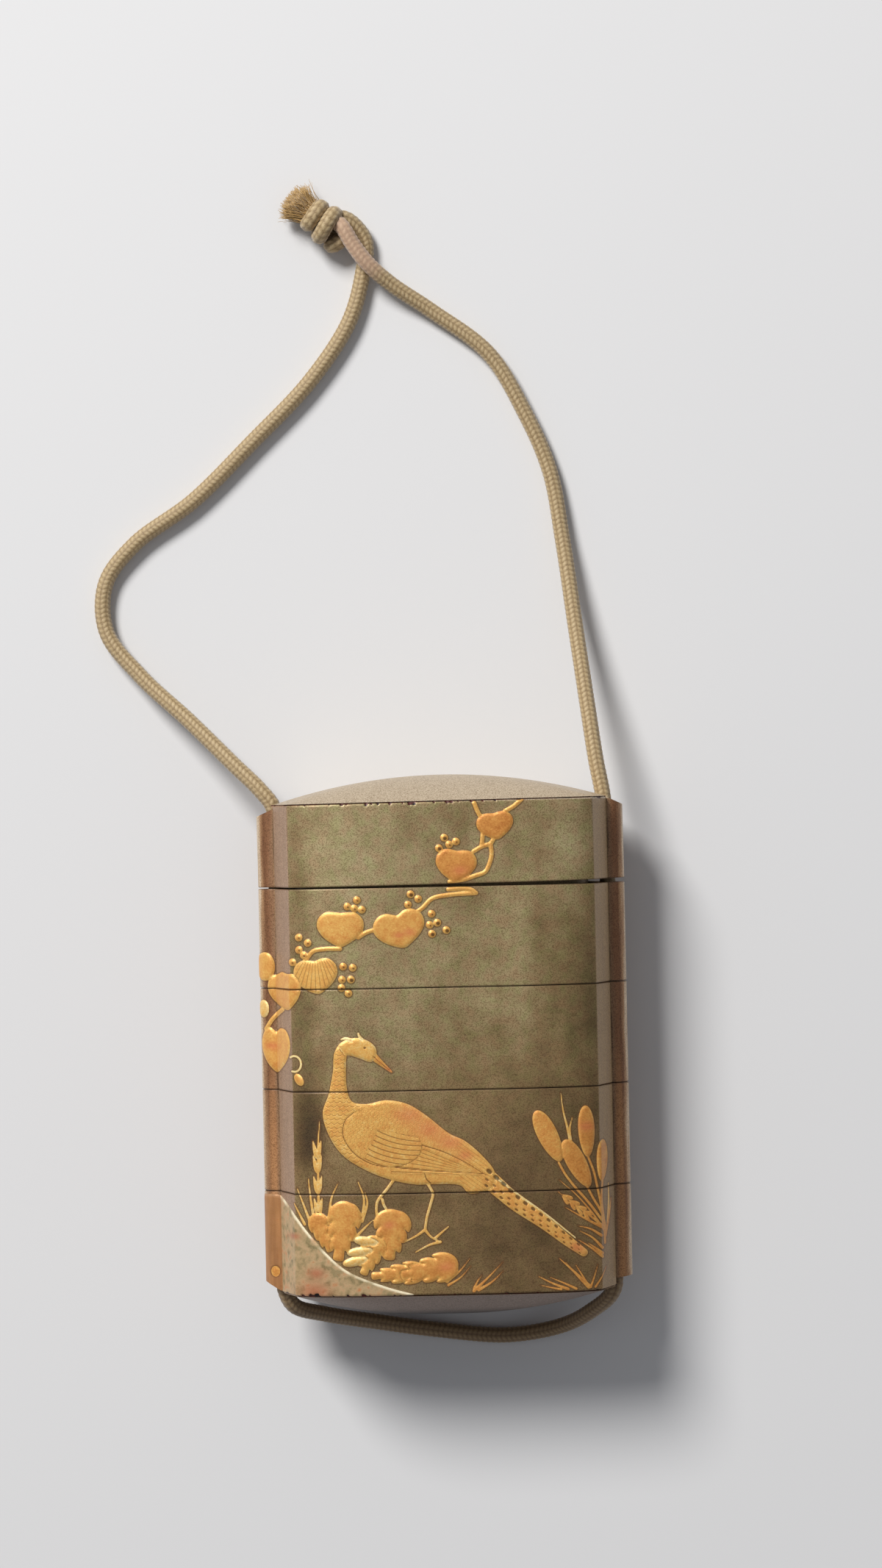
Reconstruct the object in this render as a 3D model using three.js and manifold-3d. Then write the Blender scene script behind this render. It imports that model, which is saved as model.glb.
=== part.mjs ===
// An inro: a small lacquered case made of a lid and four stacked boxes, with a silk cord.
// The cord runs through a channel down each side, loops under the lowest box, and its two
// ends are knotted together above the lid.
// Sizes are in millimetres. X is the width, Y runs up the stack towards the lid, and Z is the
// thickness. The case lies on its back on the plane Z = 0, with its picture facing up.
import * as THREE from "three";
import { mergeVertices } from "three/addons/utils/BufferGeometryUtils.js";
import Module from "manifold-3d";

const wasm = await Module();
wasm.setup();

// ---------------------------------------------------------------- driving dimensions
const THICKNESS = 24;
const RIM_TO_RIM = 71.6; // from the lowest edge to the highest, without the domes
const LID_HEIGHT = 12;
const BOX_COUNT = 4;
const DOME_RISE = 3.8; // the same at the top and at the bottom
const SEAM_GAP = 0.3; // between two sections
const LID_TURN = THREE.MathUtils.degToRad(0.42); // the lid sits slightly open on the right

const BODY_HALF_WIDTH = 24.4; // without the cord runners
const BODY_CROWN = 12.15; // half thickness of the curved section before its faces are levelled
const BODY_POWER = 4; // superellipse exponent of the section
const BODY_STEPS = 40;
const HOLLOW_STEPS = 32;

const SIDE_WALL = 2.5; // at the narrow sides, where the cord channels pass
const FACE_WALL = 1.35; // outer wall at the broad faces
const FIT_GAP = 0.3; // between a riser and the section that slips over it
const RISER_WALL = 1.1;
const RISER_HEIGHT = 4.2;
const RECESS_SPARE = 0.5; // the recess is this much deeper than the riser that it takes
const FLOOR = 1.3;
const ROOF = 1.5; // thickness of the domes

const RUNNER_X = 24.4;
const RUNNER_RADIUS = 2.6; // so the case is 54 mm wide over the runners
const RUNNER_END_RADIUS = 2.05;
const RUNNER_BEVEL = 1.1;
const BORE_RADIUS = 1.65;

const RELIEF = 0.25; // height of the raised lacquer figures
const CORD_DIAMETER = 2.4;
const CORD_STEPS_PER_POINT = 2;
const KNOT_ANGLE = THREE.MathUtils.degToRad(141.5); // from the strands towards the frayed ends
const KNOT_CENTRE = new THREE.Vector3(-15.3, 122.3, 3.3);

// worked out from the driving dimensions
const MID = THICKNESS / 2;
const RIM = RIM_TO_RIM / 2;
const BOX_PITCH = (RIM_TO_RIM - LID_HEIGHT) / BOX_COUNT;
const LID_SEAM = RIM - LID_HEIGHT;
const LEFT_EDGE = -(RUNNER_X + RUNNER_RADIUS);

// ---------------------------------------------------------------- solids
// Turns a closed geometry into a solid that can be joined and cut.
function solid(geometry) {
  const bare = geometry.clone();
  bare.deleteAttribute("normal");
  bare.deleteAttribute("uv");
  const merged = mergeVertices(bare, 1e-4);
  return new wasm.Manifold(
    new wasm.Mesh({
      numProp: 3,
      vertProperties: new Float32Array(merged.attributes.position.array),
      triVerts: new Uint32Array(merged.index.array),
    }),
  );
}

function union(solids) {
  return solids.reduce((sum, next) => sum.add(next));
}

function meshOf(name, body, material) {
  const data = body.getMesh();
  const geometry = new THREE.BufferGeometry();
  geometry.setAttribute("position", new THREE.BufferAttribute(data.vertProperties, 3));
  geometry.setIndex(new THREE.BufferAttribute(data.triVerts, 1));
  geometry.computeVertexNormals();
  const mesh = new THREE.Mesh(geometry, material);
  mesh.name = name;
  return mesh;
}

// Closed outline of the case's cross-section as [x, z] pairs: a superellipse with level faces.
// inset makes it thinner, sideInset makes it narrower, and both are negative to make it grow.
function sectionOutline(inset, sideInset, steps = BODY_STEPS) {
  const halfX = BODY_HALF_WIDTH - sideInset;
  const halfZ = BODY_CROWN - inset;
  const level = MID - inset;
  const root = 2 / BODY_POWER;
  return Array.from({ length: steps }, (_, k) => {
    const turn = (2 * Math.PI * k) / steps;
    const c = Math.cos(turn);
    const s = Math.sin(turn);
    const z = Math.sign(s) * Math.abs(s) ** root * halfZ;
    return [
      Math.sign(c) * Math.abs(c) ** root * halfX,
      MID + THREE.MathUtils.clamp(z, -level, level),
    ];
  });
}

// Skins one outline through rings { y, share } in rising order. Each ring is the outline
// drawn in to that share about its middle. Each end closes on a point on the axis.
function loft(outline, rings, startY = rings[0].y, endY = rings.at(-1).y) {
  const positions = [];
  const indices = [];
  const count = outline.length;
  for (const { y, share } of rings) {
    for (const [x, z] of outline) {
      positions.push(x * share, y, MID + (z - MID) * share);
    }
  }
  const startPoint = rings.length * count;
  const endPoint = startPoint + 1;
  positions.push(0, startY, MID, 0, endY, MID);
  for (let k = 0; k < count; k++) {
    const next = (k + 1) % count;
    for (let r = 0; r + 1 < rings.length; r++) {
      const low = r * count;
      const high = low + count;
      indices.push(low + k, high + k, high + next);
      indices.push(low + k, high + next, low + next);
    }
    const last = (rings.length - 1) * count;
    indices.push(startPoint, k, next);
    indices.push(endPoint, last + next, last + k);
  }
  const geometry = new THREE.BufferGeometry();
  geometry.setAttribute("position", new THREE.Float32BufferAttribute(positions, 3));
  geometry.setIndex(indices);
  return solid(geometry);
}

function prism(outline, fromY, toY) {
  return loft(outline, [
    { y: fromY, share: 1 },
    { y: toY, share: 1 },
  ]);
}

// How far the dome stands over the rim at a given share of the half width.
function domeHeight(share) {
  return DOME_RISE * (1 - share ** 2);
}

// The upper end of a body or of a hollow under the dome, from fromY up: the outline keeps
// to the dome's curve, drop below it. A downward one is the same turned over.
function domed(outline, fromY, drop) {
  const reach = outline[0][0] / BODY_HALF_WIDTH;
  const shares = [1, 0.86, 0.66, 0.38];
  const domeRings = shares.map((share) => ({
    y: RIM + domeHeight(share * reach) - drop,
    share,
  }));
  return loft(outline, [{ y: fromY, share: 1 }, ...domeRings], fromY, RIM + DOME_RISE - drop);
}

function turnOver(body) {
  return body.rotate([0, 0, 180]);
}

// ---------------------------------------------------------------- cord runners
function runner(side, fromY, toY, bevelFrom, bevelTo, growth = 0) {
  const radius = RUNNER_RADIUS + growth;
  const endRadius = RUNNER_END_RADIUS + growth;
  const profile = [new THREE.Vector2(0, fromY)];
  if (bevelFrom) {
    profile.push(new THREE.Vector2(endRadius, fromY));
  }
  profile.push(new THREE.Vector2(radius, fromY + (bevelFrom ? RUNNER_BEVEL : 0)));
  profile.push(new THREE.Vector2(radius, toY - (bevelTo ? RUNNER_BEVEL : 0)));
  if (bevelTo) {
    profile.push(new THREE.Vector2(endRadius, toY));
  }
  profile.push(new THREE.Vector2(0, toY));
  const geometry = new THREE.LatheGeometry(profile, 16);
  geometry.translate(side * RUNNER_X, 0, MID);
  return solid(geometry);
}

function bore(side) {
  const length = RIM_TO_RIM + 4 * DOME_RISE;
  const geometry = new THREE.CylinderGeometry(BORE_RADIUS, BORE_RADIUS, length, 12);
  geometry.translate(side * RUNNER_X, 0, MID);
  return solid(geometry);
}

// ---------------------------------------------------------------- outlines of the figures
// Each returns a closed outline in the picture's plane as THREE.Vector2 points.
function placed(points, x, y, turnDegrees) {
  const turn = THREE.MathUtils.degToRad(turnDegrees);
  const origin = new THREE.Vector2(0, 0);
  const centre = new THREE.Vector2(x, y);
  return points.map((p) => p.rotateAround(origin, turn).add(centre));
}

// A rounded leaf, its stalk end up and its tip down before it is turned.
function leaf(x, y, width, height, turnDegrees, notch) {
  const steps = 14;
  const points = Array.from({ length: steps }, (_, k) => {
    const turn = (2 * Math.PI * k) / steps;
    const s = Math.sin(turn);
    const c = Math.cos(turn);
    const taper = 1 - 0.45 * Math.max(0, -c) ** 2;
    const dip = notch * Math.max(0, c) ** 10;
    const rise = c > 0 ? 0.84 * (c - dip) : 1.1 * c;
    return new THREE.Vector2(-0.5 * width * s * taper, 0.5 * height * rise);
  });
  return placed(points, x, y, turnDegrees);
}

// An egg shape with its narrow end along +X before it is turned.
function egg(x, y, length, width, turnDegrees, taper = 0, steps = 16) {
  const points = Array.from({ length: steps }, (_, k) => {
    const turn = (2 * Math.PI * k) / steps;
    const c = Math.cos(turn);
    return new THREE.Vector2(
      0.5 * length * c,
      0.5 * width * Math.sin(turn) * (1 - taper * c),
    );
  });
  return placed(points, x, y, turnDegrees);
}

// A clump of foliage: a round shape with scalloped edges.
function clump(x, y, width, height, lobes) {
  const steps = 3 * lobes;
  return Array.from({ length: steps }, (_, k) => {
    const turn = (2 * Math.PI * k) / steps;
    const reach = 1 + 0.09 * Math.cos(lobes * turn);
    return new THREE.Vector2(
      x + 0.5 * width * reach * Math.cos(turn),
      y + 0.5 * height * reach * Math.sin(turn),
    );
  });
}

// A band along a smooth line through [x, y] pairs, its width changing evenly from end to end.
function band(line, startWidth, endWidth, steps = 2 * (line.length - 1)) {
  const curve = new THREE.SplineCurve(line.map(([x, y]) => new THREE.Vector2(x, y)));
  const left = [];
  const right = [];
  for (let k = 0; k <= steps; k++) {
    const u = k / steps;
    const along = curve.getTangent(u);
    const across = new THREE.Vector2(-along.y, along.x);
    const half = 0.5 * THREE.MathUtils.lerp(startWidth, endWidth, u);
    left.push(curve.getPoint(u).addScaledVector(across, half));
    right.unshift(curve.getPoint(u).addScaledVector(across, -half));
  }
  return [...right.reverse(), ...left.reverse()];
}

// ---------------------------------------------------------------- the picture
const TWIG = 0.75;
const BERRY = 1.15;

// Berries in a loose bunch round a point.
function berries(x, y, spread, count) {
  return Array.from({ length: count }, (_, k) => {
    const turn = (2 * Math.PI * k) / count + x;
    const far = spread * (k % 2 ? 1 : 0.6);
    return egg(x + far * Math.cos(turn), y + far * Math.sin(turn), BERRY, BERRY, 0, 0, 5);
  });
}

function fruitingBranch() {
  return [
    leaf(7.9, 31.9, 5.2, 4.4, 0, 0.05),
    leaf(2.2, 26.4, 5.8, 4.6, 4, 0.1),
    leaf(-6.2, 17.6, 7.2, 5.0, 12, 0.22),
    leaf(-14.7, 17.7, 6.8, 4.9, -2, 0.22),
    leaf(-18.5, 11.0, 6.2, 4.8, 8, 0.22),
    leaf(-23.0, 8.6, 5.2, 5.2, 0, 0.1),
    leaf(-24.6, 0.2, 4.4, 6.2, 0, 0.05),
    band([[6.2, 33.0], [5.6, 34.2], [5.1, 35.6]], TWIG, TWIG),
    band([[9.5, 33.6], [10.7, 34.6], [11.9, 35.6]], TWIG, TWIG),
    band([[7.2, 30.4], [7.5, 28.6], [7.0, 26.2], [5.6, 24.7], [3.4, 24.4]], TWIG, TWIG),
    band([[4.4, 28.0], [6.0, 29.2], [7.0, 30.2]], TWIG, TWIG),
    band([[5.2, 22.6], [2.6, 22.6], [-0.4, 22.0], [-2.4, 20.8], [-3.4, 19.4]], TWIG, TWIG),
    band([[-9.4, 17.6], [-10.6, 17.0], [-11.8, 16.7]], TWIG, TWIG),
    band([[-15.0, 15.3], [-17.4, 15.0], [-19.3, 14.4], [-20.3, 12.8]], TWIG, TWIG),
    band([[-23.9, 6.4], [-24.7, 5.0], [-24.8, 3.2]], TWIG, TWIG),
    ...berries(0.9, 29.4, 1.3, 4),
    ...berries(-4.3, 21.5, 1.2, 4),
    ...berries(-0.6, 17.7, 1.3, 5),
    ...berries(-12.6, 20.7, 1.3, 5),
    ...berries(-20.2, 15.2, 1.2, 4),
    ...berries(-14.0, 10.7, 1.4, 5),
  ];
}

function longTailedBird() {
  return [
    egg(-7.8, -13.2, 19.4, 11.2, -24, 0.16, 20),
    egg(-0.4, -16.5, 14.0, 5.6, -26, 0.3, 14),
    band([[-13.8, -10.6], [-15.6, -7.0], [-15.7, -3.4], [-15.2, -0.8], [-13.6, 0.6]], 5.4, 2.0),
    egg(-12.3, 0.3, 4.4, 2.8, -30, 0.2, 14),
    band([[-10.8, -0.9], [-9.4, -2.0], [-7.8, -3.5]], 1.7, 0.3),
    band([[-12.0, 1.2], [-13.8, 1.9], [-14.6, 1.5]], 1.0, 0.4),
    band([[1.6, -16.8], [6.4, -20.2], [13.0, -25.2], [19.8, -30.2]], 4.2, 0.9),
    band([[-7.2, -18.2], [-8.4, -20.2], [-9.6, -22.2], [-9.4, -23.6]], 1.0, 0.6),
    band([[-2.8, -18.8], [-2.2, -21.0], [-2.8, -23.4], [-3.5, -26.0]], 1.0, 0.6),
    band([[-5.6, -27.6], [-3.4, -26.2], [-0.4, -27.4]], 0.6, 0.6),
    band([[-10.8, -23.0], [-9.6, -23.0], [-8.4, -23.9]], 0.6, 0.6),
  ];
}

function grassTuft(x, y, length, leans) {
  return leans.map((lean) => {
    const turn = THREE.MathUtils.degToRad(90 - lean);
    const tip = [x + length * Math.cos(turn), y + length * Math.sin(turn)];
    const middle = [(x + tip[0]) / 2 - 0.02 * lean, (y + tip[1]) / 2 + 0.2];
    return band([[x, y], middle, tip], 0.7, 0.25, 2);
  });
}

function bankAndPlants() {
  const bankTop = [[-25.2, -20.6], [-21.8, -25.4], [-18.2, -29.8], [-13.6, -32.4], [-5.2, -34.5]];
  const bankEdge = new THREE.SplineCurve(bankTop.map(([x, y]) => new THREE.Vector2(x, y)));
  const bank = [
    ...bankEdge.getPoints(12).reverse(),
    new THREE.Vector2(-25.2, -36.5),
    new THREE.Vector2(-5.2, -36.5),
  ];
  const leafHeads = [
    [-18.9, -25.6, 4.4, 5.2],
    [-15.0, -24.6, 5.0, 5.0],
    [-16.2, -28.0, 4.6, 4.4],
    [-8.2, -25.4, 5.4, 5.0],
    [-11.4, -29.4, 6.4, 4.4],
    [-2.2, -31.4, 7.6, 4.0],
    [-7.0, -32.4, 8.6, 3.2],
  ];
  const ear = [-13.6, -15.2, -16.8, -18.4].flatMap((y) => [
    egg(-18.9, y, 1.7, 0.9, 65, 0, 6),
    egg(-18.0, y - 0.7, 1.7, 0.9, 115, 0, 6),
  ]);
  return [
    bank,
    ...leafHeads.map(([x, y, width, height]) => clump(x, y, width, height, 7)),
    ...ear,
    band([[-18.5, -12.2], [-18.6, -17.0], [-18.4, -23.4]], 0.4, 0.6),
    egg(14.9, -12.9, 8.0, 3.2, 116, -0.1, 12),
    egg(18.6, -16.9, 6.6, 2.9, 114, -0.1, 12),
    egg(20.3, -12.3, 7.6, 2.8, 88, 0, 12),
    egg(22.5, -16.9, 6.4, 2.2, 84, 0, 12),
    band([[16.5, -16.2], [19.4, -21.6], [22.0, -28.4]], 0.7, 0.7),
    band([[19.8, -19.8], [21.0, -24.0], [22.2, -28.6]], 0.6, 0.7),
    band([[20.5, -15.8], [21.8, -22.0], [22.4, -28.6]], 0.6, 0.7),
    ...grassTuft(20.6, -34.9, 7.0, [-50, -32, -12]),
    ...grassTuft(3.6, -34.9, 5.2, [36, 52]),
    ...grassTuft(-19.6, -24.6, 6.0, [-30, -8]),
  ];
}

// The figures as one solid, standing upright through the upper face of the case.
function figurePrisms() {
  const figures = [...fruitingBranch(), ...longTailedBird(), ...bankAndPlants()];
  return union(
    figures.map((outline) => {
      const shape = new THREE.Shape(outline);
      const geometry = new THREE.ExtrudeGeometry(shape, {
        depth: THICKNESS,
        bevelEnabled: false,
      });
      geometry.translate(0, 0, MID);
      return solid(geometry);
    }),
  );
}

// ---------------------------------------------------------------- lid and boxes
const bodyOutline = sectionOutline(0, 0);
const grownOutline = sectionOutline(-RELIEF, -RELIEF);
const recessOutline = sectionOutline(FACE_WALL, SIDE_WALL, HOLLOW_STEPS);
const riserOutline = sectionOutline(FACE_WALL + FIT_GAP, SIDE_WALL + FIT_GAP, HOLLOW_STEPS);
const hollowOutline = sectionOutline(
  FACE_WALL + FIT_GAP + RISER_WALL,
  SIDE_WALL + FIT_GAP + RISER_WALL,
  HOLLOW_STEPS,
);
const figures = figurePrisms();
const bores = bore(-1).add(bore(1));

// The raised figures between two heights of the stack, following the curve of the face.
function reliefBetween(fromY, toY, isBottom, isTop) {
  const skin = union([
    prism(grownOutline, fromY, toY),
    runner(-1, fromY, toY, isBottom, isTop, RELIEF),
    runner(1, fromY, toY, isBottom, isTop, RELIEF),
  ]);
  return figures.intersect(skin);
}

function outerBody(fromY, toY, isBottom, isTop) {
  let core = prism(bodyOutline, fromY, toY);
  if (isTop) {
    core = domed(bodyOutline, fromY, 0);
  }
  if (isBottom) {
    core = turnOver(domed(bodyOutline, -toY, 0));
  }
  return union([
    core,
    runner(-1, fromY, toY, isBottom, isTop),
    runner(1, fromY, toY, isBottom, isTop),
    reliefBetween(fromY, toY, isBottom, isTop),
  ]);
}

function makeLid() {
  const lowest = LID_SEAM + SEAM_GAP / 2;
  return outerBody(lowest, RIM, false, true)
    .subtract(domed(recessOutline, lowest - 1, ROOF))
    .subtract(bores);
}

function makeBox(number) {
  const isBottom = number === BOX_COUNT;
  const seam = LID_SEAM - (number - 1) * BOX_PITCH;
  const lowest = isBottom ? -RIM : seam - BOX_PITCH + SEAM_GAP / 2;
  const highest = seam - SEAM_GAP / 2;
  const riserTop = highest + RISER_HEIGHT;
  const recessTop = lowest + RISER_HEIGHT + RECESS_SPARE;
  let box = outerBody(lowest, highest, isBottom, false).add(
    prism(riserOutline, highest - 1, riserTop),
  );
  if (isBottom) {
    box = box.subtract(turnOver(domed(hollowOutline, -riserTop - 1, ROOF)));
  } else {
    box = box
      .subtract(prism(recessOutline, lowest - 1, recessTop))
      .subtract(prism(hollowOutline, recessTop + FLOOR, riserTop + 1));
  }
  return box.subtract(bores);
}

// ---------------------------------------------------------------- cord
// One cord: from the knot along the left strand, down the left channel, under the lowest box,
// up the right channel and back along the right strand to the knot.
const CORD_ROUTE = [
  [-11.6, 122.8, 2.2],
  [-9.4, 119.9, 1.35],
  [-9.9, 114.9, 1.28],
  [-12.1, 107.8, 1.28],
  [-18.1, 99.1, 1.28],
  [-26.8, 90.3, 1.28],
  [-36.0, 81.5, 1.28],
  [-44.9, 75.2, 1.28],
  [-49.3, 69.4, 1.3],
  [-49.3, 62.2, 1.6],
  [-44.2, 55.4, 3.2],
  [-37.0, 48.6, 6.6],
  [-30.2, 41.8, 10.1],
  [-26.4, 38.0, 11.7],
  [-24.6, 35.5, 12.0],
  [-24.4, 32.0, 12.0],
  [-24.4, -32.0, 12.0],
  [-24.3, -35.6, 12.0],
  [-23.1, -38.1, 11.0],
  [-18.7, -39.9, 7.0],
  [-11.5, -41.6, 2.8],
  [-2.0, -43.2, 1.35],
  [8.4, -44.2, 1.4],
  [16.2, -42.9, 3.1],
  [20.9, -40.2, 7.8],
  [24.2, -36.6, 11.8],
  [24.4, -32.0, 12.0],
  [24.4, 32.0, 12.0],
  [24.1, 36.2, 11.9],
  [23.2, 41.5, 11.3],
  [22.2, 49.5, 9.2],
  [20.7, 62.0, 5.1],
  [19.2, 74.5, 2.2],
  [17.5, 84.9, 1.35],
  [13.9, 93.8, 1.28],
  [8.7, 102.7, 1.28],
  [0.2, 109.3, 1.4],
  [-5.7, 113.3, 2.6],
  [-9.2, 116.4, 3.9],
  [-11.2, 119.1, 4.3],
  [-12.8, 121.8, 4.4],
];

// Follows the route with the same number of steps between each two of its points.
class CordCurve extends THREE.CatmullRomCurve3 {
  getUtoTmapping(u) {
    return u;
  }
}

function makeCord() {
  const sides = 8;
  const section = new THREE.Shape(egg(0, 0, CORD_DIAMETER, CORD_DIAMETER, 0, 0, sides));
  const path = new CordCurve(
    CORD_ROUTE.map(([x, y, z]) => new THREE.Vector3(x, y, z)),
    false,
    "centripetal",
  );
  const steps = CORD_STEPS_PER_POINT * (CORD_ROUTE.length - 1);
  return new THREE.ExtrudeGeometry(section, { steps, extrudePath: path });
}

// The knot: a wide turn of cord and a narrower one round a core, and the frayed ends fanning
// out of it. Its own X axis runs from the strands to the frayed ends.
function makeKnot() {
  const turns = [
    { place: -0.35, radius: 2.05 },
    { place: 2.0, radius: 1.55 },
  ].map(({ place, radius }) => {
    const turn = new THREE.TorusGeometry(radius, 0.5 * CORD_DIAMETER - 0.05, 7, 12);
    turn.rotateY(Math.PI / 2);
    turn.translate(place, 0, 0);
    return solid(turn);
  });
  const core = new THREE.SphereGeometry(1, 10, 8);
  core.scale(2.6, 2.2, 2.2);
  core.translate(0.9, 0, 0);
  const frayedProfile = [
    new THREE.Vector2(0, 2.0),
    new THREE.Vector2(1.5, 2.0),
    new THREE.Vector2(2.1, 4.2),
    new THREE.Vector2(2.9, 6.2),
    new THREE.Vector2(2.2, 7.2),
    new THREE.Vector2(0, 7.0),
  ];
  const frayed = new THREE.LatheGeometry(frayedProfile, 12);
  frayed.rotateZ(-Math.PI / 2);
  frayed.scale(1, 1, 0.75);
  frayed.rotateY(THREE.MathUtils.degToRad(8));
  return union([solid(core), ...turns, solid(frayed)]);
}

// ---------------------------------------------------------------- assembly
function lacquer(color) {
  return new THREE.MeshStandardMaterial({ color, roughness: 0.35, metalness: 0.35 });
}

function silk(color) {
  return new THREE.MeshStandardMaterial({ color, roughness: 0.85, metalness: 0 });
}

const inro = new THREE.Group();

const lidHinge = new THREE.Vector3(LEFT_EDGE, LID_SEAM, 0);
const lidSeat = new THREE.Group();
lidSeat.position.copy(lidHinge);
lidSeat.rotation.z = LID_TURN;
const lid = meshOf("lid", makeLid(), lacquer(0x8f8162));
lid.position.copy(lidHinge).negate();
lidSeat.add(lid);
inro.add(lidSeat);

for (let number = 1; number <= BOX_COUNT; number++) {
  inro.add(meshOf(`box_${number}`, makeBox(number), lacquer(0x7c6b4a)));
}

const cord = new THREE.Mesh(makeCord(), silk(0xa58d5f));
cord.name = "cord";
inro.add(cord);

const knot = meshOf("cord_knot", makeKnot(), silk(0xa58d5f));
knot.position.copy(KNOT_CENTRE);
knot.rotation.z = KNOT_ANGLE;
inro.add(knot);

export default inro;
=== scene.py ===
# %% [markdown]
# # An inro: a lacquered case in five sections, on a silk cord
# An inro was worn hanging from a belt and held seals or medicine. It is a lid and four
# stacked boxes. The lacquer carries a picture in raised gold on a ground of gold dust.
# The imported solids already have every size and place. This notebook follows them and makes
# the finished surfaces: the braided cord, its knot, the five sections and their lacquer.

import math

import bmesh
import bpy
import numpy as np
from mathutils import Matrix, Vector


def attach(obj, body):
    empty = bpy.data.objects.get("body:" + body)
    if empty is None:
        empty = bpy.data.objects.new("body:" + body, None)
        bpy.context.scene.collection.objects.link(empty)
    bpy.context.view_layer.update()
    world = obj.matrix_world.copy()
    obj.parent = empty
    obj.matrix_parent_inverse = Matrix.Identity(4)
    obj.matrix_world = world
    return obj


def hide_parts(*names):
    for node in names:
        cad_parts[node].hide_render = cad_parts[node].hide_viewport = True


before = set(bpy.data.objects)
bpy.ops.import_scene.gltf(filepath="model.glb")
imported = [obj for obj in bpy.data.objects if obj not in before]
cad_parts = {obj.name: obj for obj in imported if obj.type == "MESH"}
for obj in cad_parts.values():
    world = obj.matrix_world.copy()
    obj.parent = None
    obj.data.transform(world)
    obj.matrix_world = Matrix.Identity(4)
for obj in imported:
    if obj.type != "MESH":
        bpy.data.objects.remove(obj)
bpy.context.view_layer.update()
MM = 0.001
print("nodes:", sorted(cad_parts))

# %% [markdown]
# ## Camera
# The case is seen from straight above, so a long lens at three quarters of a metre keeps
# its sides upright. The case lies a little crooked on the table, which is given to the
# camera as a small turn, because the solids themselves never move.

# %% Camera
CAMERA_LENS = 112.07
CAMERA_X = 0.26 * MM
CAMERA_Y = 38.4 * MM
CAMERA_HEIGHT = 732 * MM
CAMERA_TURN = math.radians(-1.2)

camera_data = bpy.data.cameras.new("overhead_camera")
camera_data.lens = CAMERA_LENS
camera = bpy.data.objects.new("overhead_camera", camera_data)
camera.location = (CAMERA_X, CAMERA_Y, CAMERA_HEIGHT)
camera.rotation_euler = (0, 0, CAMERA_TURN)
bpy.context.scene.collection.objects.link(camera)
bpy.context.scene.camera = camera
bpy.context.scene.view_settings.view_transform = "Standard"
print("camera at", [round(v, 4) for v in camera.location])

# %% [markdown]
# ## Floor and light
# A pale, smooth table carries the case. One large soft lamp stands at the upper left, which
# gives the broad shadow to the lower right, and an even grey sky fills the shadows.

# %% Floor, lamp and sky
FLOOR_SIZE = 2.4
TABLE_COLOUR = (0.80, 0.80, 0.81, 1)
LAMP_DISTANCE = 1.45
LAMP_SIZE = 0.50
LAMP_POWER = 21.5
LAMP_COLOUR = (1.0, 0.985, 0.96)
SKY_STRENGTH = 0.235
SKY_COLOUR = (0.93, 0.95, 1.0, 1)
LAMP_DIRECTION = Vector((-0.424, 0.606, 0.673)).normalized()
AIM = Vector((0, 20 * MM, 10 * MM))


def clear_selection():
    """Leaves edit mode and deselects everything, because an operator acts on all that is selected."""
    if bpy.context.object and bpy.context.object.mode != "OBJECT":
        bpy.ops.object.mode_set(mode="OBJECT")
    bpy.ops.object.select_all(action="DESELECT")


clear_selection()
bpy.ops.mesh.primitive_plane_add(size=FLOOR_SIZE, location=(0, 0, 0))
floor = bpy.context.object
floor.name = "table_top"

floor_paint = bpy.data.materials.new("pale_table")
floor_paint.use_nodes = True
floor_shader = floor_paint.node_tree.nodes["Principled BSDF"]
floor_shader.inputs["Base Color"].default_value = TABLE_COLOUR
floor_shader.inputs["Roughness"].default_value = 0.9
floor_shader.inputs["Specular IOR Level"].default_value = 0.1
floor.data.materials.append(floor_paint)

lamp_data = bpy.data.lights.new("soft_lamp", "AREA")
lamp_data.shape = "DISK"
lamp_data.size = LAMP_SIZE
lamp_data.energy = LAMP_POWER
lamp_data.color = LAMP_COLOUR
lamp = bpy.data.objects.new("soft_lamp", lamp_data)
lamp.location = AIM + LAMP_DISTANCE * LAMP_DIRECTION
lamp.rotation_euler = LAMP_DIRECTION.to_track_quat("Z", "Y").to_euler()
bpy.context.scene.collection.objects.link(lamp)

sky = bpy.data.worlds.new("studio_sky")
sky.use_nodes = True
sky_light = sky.node_tree.nodes["Background"]
sky_light.inputs["Color"].default_value = SKY_COLOUR
sky_light.inputs["Strength"].default_value = SKY_STRENGTH
bpy.context.scene.world = sky
print("lamp at", [round(v, 2) for v in lamp.location])

# %% [markdown]
# ## The cord's route
# The cord is one length of braided silk. It leaves the knot, follows the left strand to
# the case, runs down the left channel, under the lowest box, up the right channel and
# back to the knot. The route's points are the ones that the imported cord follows, and a few
# more carry its ends on into the knot. A Blender curve could be bevelled into a plain tube
# along them, but the braid needs rings of points of its own, so the smooth line through
# the points is worked out here.

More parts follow.
